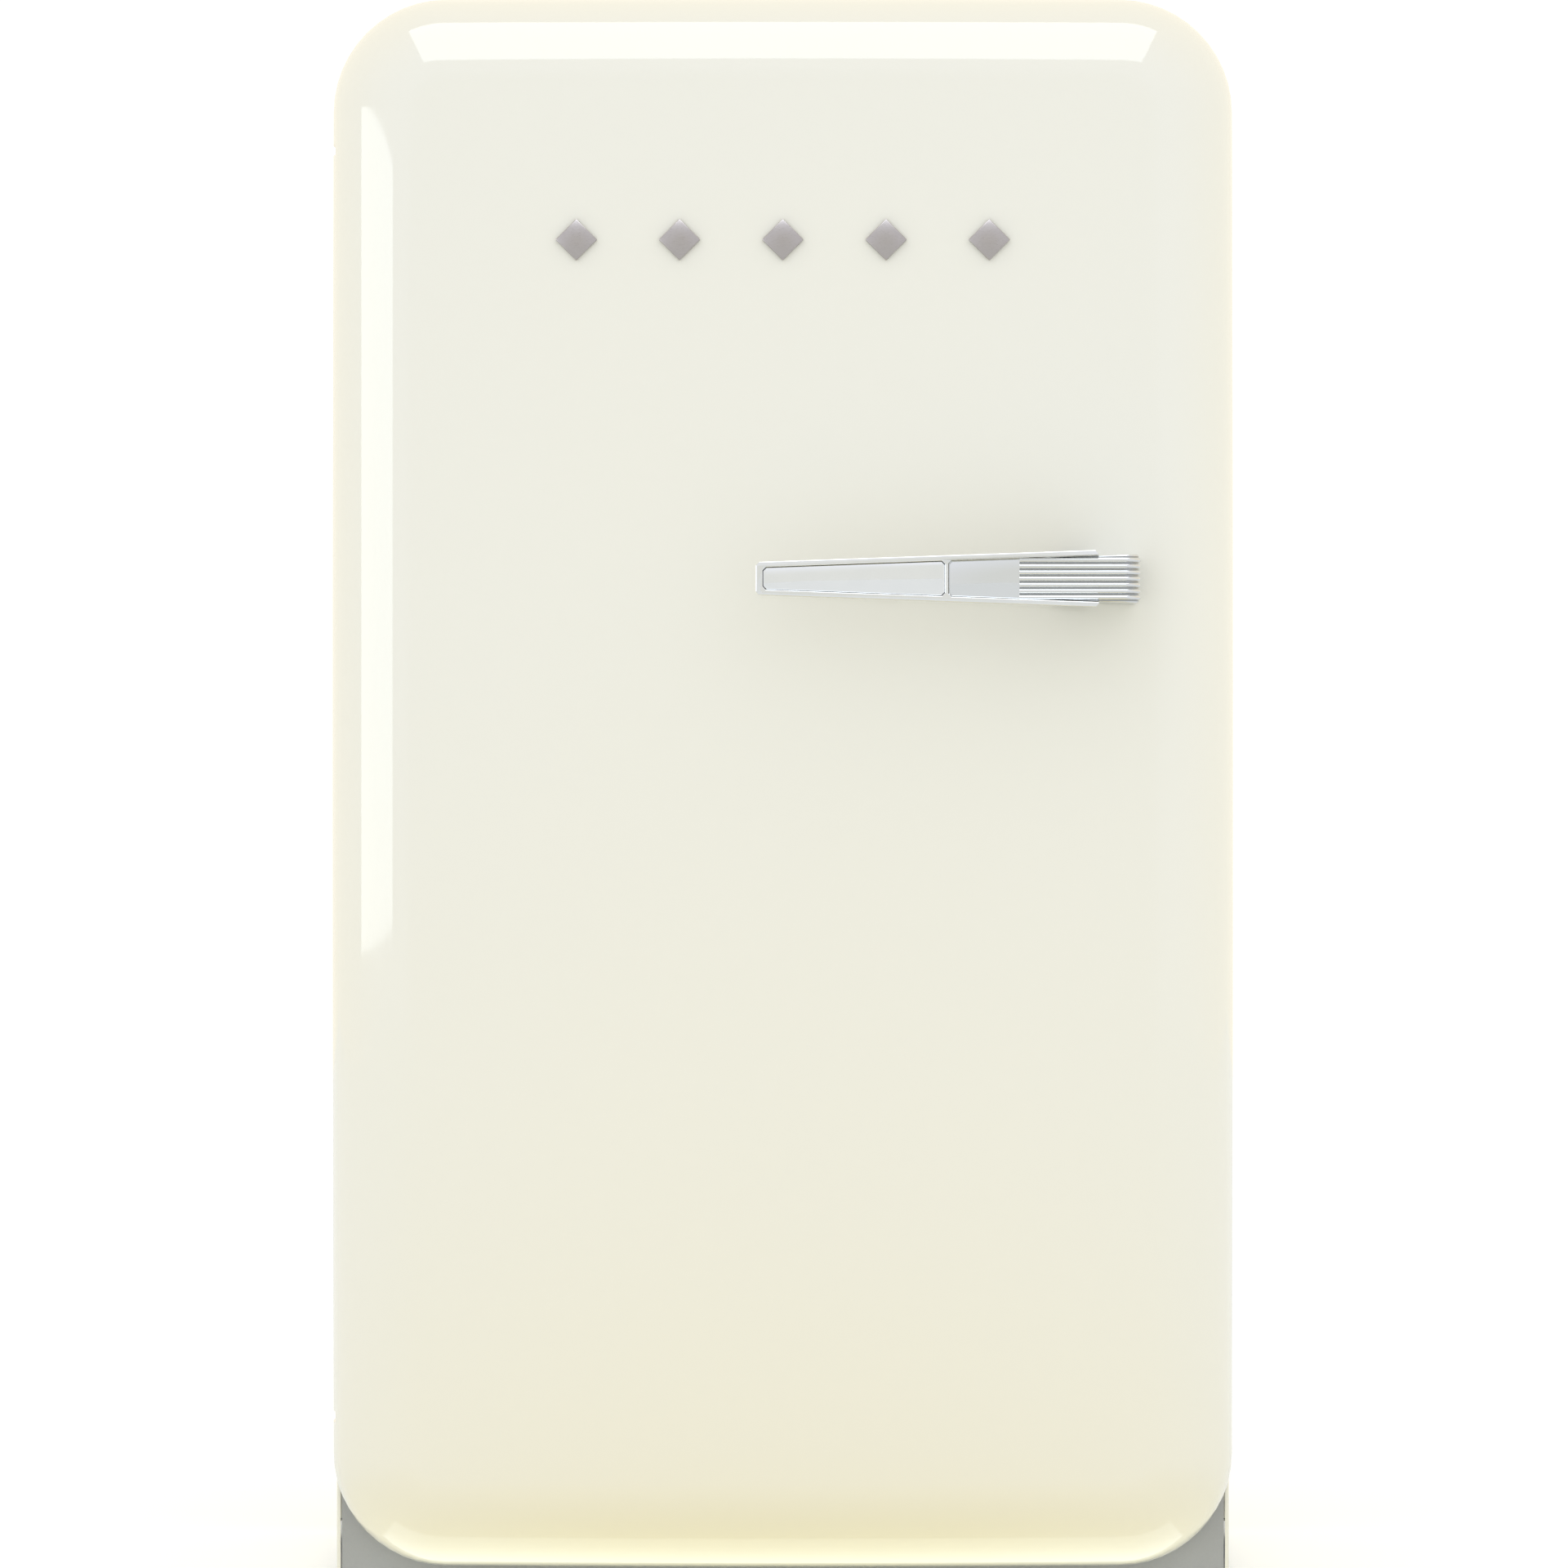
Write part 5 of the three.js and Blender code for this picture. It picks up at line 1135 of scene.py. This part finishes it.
UPPER_BALCONY = 690
MIDDLE_BALCONY = 470
BOTTLE_BALCONY = 160
ledges = []
for level in (UPPER_BALCONY, MIDDLE_BALCONY, BOTTLE_BALCONY):
    for side in (-1, 1):
        x0, x1 = sorted((side * 173.2, side * 181.2))
        ledge = block("ledge", (x0, DOOR_BACK - 1, level - 9.3), (x1, DOOR_BACK + 40, level - 0.3))
        rounded_edges(ledge, 1.5)
        ledges.append(ledge)
cut_away(door_lining, *lug_slots())
join(door_lining, *ledges)
smooth(door_lining, 40)
fit(door_lining, white_plastic, "door", "white_plastic", "door_liner")

# ---- Door: magnetic seal -------------------------------------------------------------------------
# Extruded soft vinyl, mitred and welded at its corners. A folded root holds it to the liner, and a
# bellows carries the bead with the magnet.

SEAL_INSET = 36
seal_section = [
    (-5, -175.7),
    (-5, -173.8),
    (-7.4, -173),
    (-8, -171.9),
    (-6.4, -170.8),
    (-7.8, -169.8),
    (-8, -167.4),
    (-7.2, -166.5),
    (-3, -166.7),
    (0, -166.3),
    (3, -166.7),
    (7.2, -166.5),
    (8, -167.4),
    (7.8, -169.8),
    (6.4, -170.8),
    (8, -171.9),
    (7.4, -173),
    (5, -173.8),
    (5, -175.7),
]
seal_rings = [door_outline(SEAL_INSET - across, y) for across, y in seal_section]
bellows_seal = loft("bellows_seal", seal_rings, closed=True)
smooth(bellows_seal, 60)

soft_vinyl = Finish("soft_vinyl", base_color=(0.62, 0.61, 0.58), roughness=0.6)
dust = soft_vinyl.noise(6, detail=5)
soft_vinyl.mottle(dust, (0.56, 0.55, 0.515), (0.68, 0.675, 0.65), 0.45, 0.3)
soft_vinyl.relief(soft_vinyl.noise(0.7, detail=3), 0.03)
fit(bellows_seal, soft_vinyl, "door", "seal_rubber", "door_seal")

# ---- Door balconies, guards, lid and egg tray ----------------------------------------------------
# Three clear moulded balconies hang between the liner's ridges. Chromed wires on the lower two keep
# bottles in, a clear lid closes the top one, and a white tray for six eggs stands in the middle one.

BALCONY_HALF = 178.2
BALCONY_BACK = -175.2
BALCONY_WALL = 2.2
UPPER_RIM, MIDDLE_RIM, BOTTLE_RIM = 742, 522, 240
SHALLOW, DEEP = 92, 106
PIN_Y, PIN_Z = -167.2, 772


def balcony(name, low, high, depth):
    def area(inset):
        half = BALCONY_HALF - inset
        front, back = max(18 - inset, 1), max(2 - inset, 0.4)
        y0, y1 = BALCONY_BACK + inset, BALCONY_BACK + depth - inset
        return round_box(-half, half, y0, y1, (front, front, back, back))

    return tray(name, area, low, high, BALCONY_WALL, 3)


def ear(side):
    """A lug with a bore for the lid's pin."""
    x0, x1 = sorted((side * BALCONY_HALF, side * (BALCONY_HALF - 3)))
    y0, y1, z0, z1 = PIN_Y - 6, PIN_Y + 6, UPPER_RIM - 8, PIN_Z + 6
    plate = prism("ear", [(y0, z0), (y1, z0), (y1, z1), (y0, z1)], x0, x1)
    bore = turned("bore", [(3.3, -300), (3.3, 300)], 24)
    place(bore, (0, PIN_Y, PIN_Z), Matrix.Rotation(math.pi / 2, 4, "Y"))
    cut_away(plate, bore)
    rounded_edges(plate, 0.5, 2, 40)
    return plate


for node, low, rim, depth in (
    ("balcony_upper", UPPER_BALCONY, UPPER_RIM, SHALLOW),
    ("balcony_middle", MIDDLE_BALCONY, MIDDLE_RIM, SHALLOW),
    ("balcony_bottle", BOTTLE_BALCONY, BOTTLE_RIM, DEEP),
):
    shelf = balcony("clear_" + node, low, rim, depth)
    if rim == UPPER_RIM:
        join(shelf, ear(-1), ear(1))
    smooth(shelf, 50)
    fit(shelf, clear_plastic, "door", "clear_plastic", node)

lid = refined("dairy_cover", "dairy_lid", 0.6, 2)
fit(lid, clear_plastic, "dairy_lid", "clear_plastic", "dairy_lid")

for name, node, rim, rise, depth in (
    ("bottle_rail_middle", "guard_middle", MIDDLE_RIM, 22, SHALLOW),
    ("bottle_rail_lower", "guard_bottle", BOTTLE_RIM, 46, DEEP),
):
    half = BALCONY_HALF - BALCONY_WALL / 2
    back, front = BALCONY_BACK + 20, BALCONY_BACK + depth - BALCONY_WALL / 2
    corners = [(-half, back, rim + 0.3), (-half, back, rim + rise), (-half, front, rim + rise)]
    corners += [(-x, y, z) for x, y, z in reversed(corners)]
    guard = wire(name, eased(corners, 14), 2.2)
    fit(guard, bright_chrome, "door", "chrome", node)

EGG_TRAY_LOW = 472.5
EGG_TRAY_HIGH = 498.5
CUP_PITCH = 44
egg_body = round_box(-66, 66, -171.2, -89.4, 8)
egg_block = slab("egg_cups", egg_body, EGG_TRAY_LOW, EGG_TRAY_HIGH)
cups = []
for y in (-150.2, -108.2):
    for i in (-1, 0, 1):
        cup = turned("cup", [(9, 4), (13, 5), (16, 9), (17.6, 16), (18, 24), (18, 30)], 32)
        place(cup, (i * CUP_PITCH, y, EGG_TRAY_LOW))
        cups.append(cup)
cut_away(egg_block, *cups)
rounded_edges(egg_block, 1.0, 3, 40)
fit(egg_block, white_plastic, "door", "white_plastic", "egg_tray")

# ---- Hinge bushes --------------------------------------------------------------------------------
# White acetal sleeves pressed into the door, top and bottom. They turn on the steel pins that stand
# on the cabinet's hinge brackets.

BUSH_BORE = 4
BUSH_RADIUS = 6
BUSH_LENGTH = 19
for name, z in zip(("top", "bottom"), HINGE_HEIGHTS):
    low, high = z + LUG_RISE, z + LUG_RISE + BUSH_LENGTH
    sleeve = [(BUSH_BORE, low), (BUSH_RADIUS, low), (BUSH_RADIUS, high), (BUSH_BORE, high)]
    bush = turned(f"acetal_sleeve_{name}", sleeve, 32, hollow=True)
    place(bush, (HINGE_X, HINGE_Y, 0))
    fit(bush, white_plastic, "door", "white_plastic", f"hinge_bush_{name}")

# ---- Handle --------------------------------------------------------------------------------------
# Two die castings in bright chrome. A ribbed base is screwed to the door from behind, and a tapered
# arm is forked over it. A mirror plate is let into the arm's free end.

HANDLE_Z = 616
HANDLE_FRONT = -316
HANDLE_BACK = -301
HANDLE_TIP = -16
HANDLE_FORK = 187
HANDLE_END = 212
TONGUE = 98
RIM = 3.2
RIB_START = 140
RIB_COUNT = 7
RIB_PITCH = 3.7
RIB_RADIUS = 1.45


def arm_half(x):
    """Half the arm's height, which tapers towards its tip."""
    return 9.8 + 7 * (x - HANDLE_TIP) / (HANDLE_FORK - HANDLE_TIP)


handle_fork = refined("handle_fork", "handle_arm", 0.8, 4)
fit(handle_fork, bright_chrome, "door", "chrome", "handle_arm")

END_ROUND = 9
plan = [(TONGUE, HANDLE_FRONT + RIM)]
for a in arc(0, 90, 10):
    x = HANDLE_END - END_ROUND - 1.2 + END_ROUND * math.sin(a)
    plan.append((x, HANDLE_FRONT + RIM + END_ROUND - END_ROUND * math.cos(a)))
plan += [(x, face_at(x, HANDLE_Z) - 0.4) for x in (HANDLE_END - 1.2, HANDLE_FORK - 32)]
foot = Vector(plan[12])
bend = Vector((HANDLE_FORK - 36, HANDLE_BACK))
back = Vector((HANDLE_FORK - 62, HANDLE_BACK))
for share in (0.15, 0.3, 0.45, 0.6, 0.75, 0.9, 1):
    plan.append(tuple(foot.lerp(bend, share).lerp(bend.lerp(back, share), share)))
plan.append((TONGUE, HANDLE_BACK))
base_rings = [[(x, y, HANDLE_Z + up * (arm_half(x) - RIM)) for x, y in plan] for up in (-1, 1)]
handle_foot = loft("handle_foot", base_rings)
rounded_edges(handle_foot, 0.9, 3, 50)

ribs = Grower("ribs", Count="Int", Pitch="Float", Radius="Float", Finish="Material")
path = ribs.node("MeshToCurve", {}, {"Mesh": ribs.input("Geometry")})
bead = ribs.node("CurvePrimitiveCircle", {}, {"Resolution": 12, "Radius": ribs.input("Radius")})
rib = ribs.node("CurveToMesh", {}, {"Curve": path, "Profile Curve": bead, "Fill Caps": True})
count, rise = ribs.input("Count"), ribs.input("Pitch")
lowest = (1 - count) * (rise * 0.5)
line = {"Count": count, "Start Location": ribs.vector(0, 0, lowest), "Offset": ribs.vector(0, 0, rise)}
row = ribs.node("MeshLine", {}, line)
ribs.result(ribs.node("InstanceOnPoints", {}, {"Points": row, "Instance": rib}))

rib_path = [(RIB_START, HANDLE_FRONT + RIM), *plan[1:12]]
rib_path.append((HANDLE_END - 1.2, face_at(HANDLE_END, HANDLE_Z) - 2))
corners = [Vector((x, y, HANDLE_Z)) * MM for x, y in rib_path]
handle_ribs = bpy.data.objects.new("handle_ribs", bpy.data.meshes.new("handle_ribs"))
handle_ribs.data.from_pydata(corners, [(i, i + 1) for i in range(len(corners) - 1)], [])
scene.collection.objects.link(handle_ribs)
rib_sizes = {"Count": RIB_COUNT, "Pitch": RIB_PITCH * MM, "Radius": RIB_RADIUS * MM}
by_nodes(handle_ribs, ribs.tree, Finish=bright_chrome.material, **rib_sizes)
join(handle_foot, handle_ribs)
smooth(handle_foot, 50)
# Painted shade: the bottoms of the grooves between the ribs get a darker colour than their crests, in place
# of the shade and dark reflections that fall there.
ribbed_chrome = Finish("ribbed_chrome", metallic=1.0, roughness=0.07)
across = ribbed_chrome.node("SeparateXYZ", {}, {"Vector": ribbed_chrome.place})
upward = ribbed_chrome.node("SeparateXYZ", {}, {"Vector": ribbed_chrome.place}, out=2)
phase = (upward - HANDLE_Z * MM) / (RIB_PITCH * MM) + RIB_COUNT / 2
# Mask of the grooves between the ribs, where shade is painted into the colour.
groove_shade = (ribbed_chrome.maths("PINGPONG", phase, 0.5) < 0.12) * (across > RIB_START * MM)
polish = ribbed_chrome.noise(14, detail=4)
ribbed_chrome.set(
    base_color=ribbed_chrome.blend(groove_shade, (0.67, 0.685, 0.7), (0.34, 0.35, 0.355)),
    roughness=0.04 + 0.06 * polish,
)
fit(handle_foot, ribbed_chrome, "door", "chrome", "handle_base")

# The mirror plate is rolled slightly hollow, so what it mirrors fades from end to end.
MIRROR_MIDDLE = 20
MIRROR_BOW = 1.6
mirror_plate = refined("mirror_plate", "handle_inlay", 0.5, 3)
satin_metal = Finish("satin_metal", base_color=(0.42, 0.39, 0.385), metallic=1.0, roughness=0.3)
brushing = satin_metal.noise(0.25, detail=3, stretch=(0.04, 1, 1))
satin_metal.mottle(brushing, (0.37, 0.345, 0.34), (0.46, 0.43, 0.425), 0.22, 0.16)
satin_metal.relief(brushing, 0.004)
mirror_chrome = Finish("mirror_chrome", base_color=(0.76, 0.77, 0.78), metallic=1.0, roughness=0.05)
along = mirror_chrome.node("SeparateXYZ", {}, {"Vector": mirror_chrome.place}) - MIRROR_MIDDLE * MM
mirror_chrome.set(
    base_color=mirror_chrome.blend(mirror_chrome.noise(14, detail=4), (0.74, 0.755, 0.77), (0.79, 0.8, 0.81)),
    roughness=0.05 + 0.05 * mirror_chrome.noise(20, detail=3),
    normal=mirror_chrome.node("Bump", {}, {"Height": along * along, "Distance": MIRROR_BOW, "Strength": 1.0}),
)
fit(mirror_plate, mirror_chrome, "door", "satin_metal", "handle_inlay")

# ---- Badge ---------------------------------------------------------------------------------------
# Five plain lozenge studs in satin metal, each held to the door by a pin from behind.

for number in range(1, 6):
    stud = refined(f"lozenge_stud_{number}", f"badge_stud_{number}", 0.5, 3, 15)
    fit(stud, satin_metal, "door", "satin_metal", f"badge_stud_{number}")
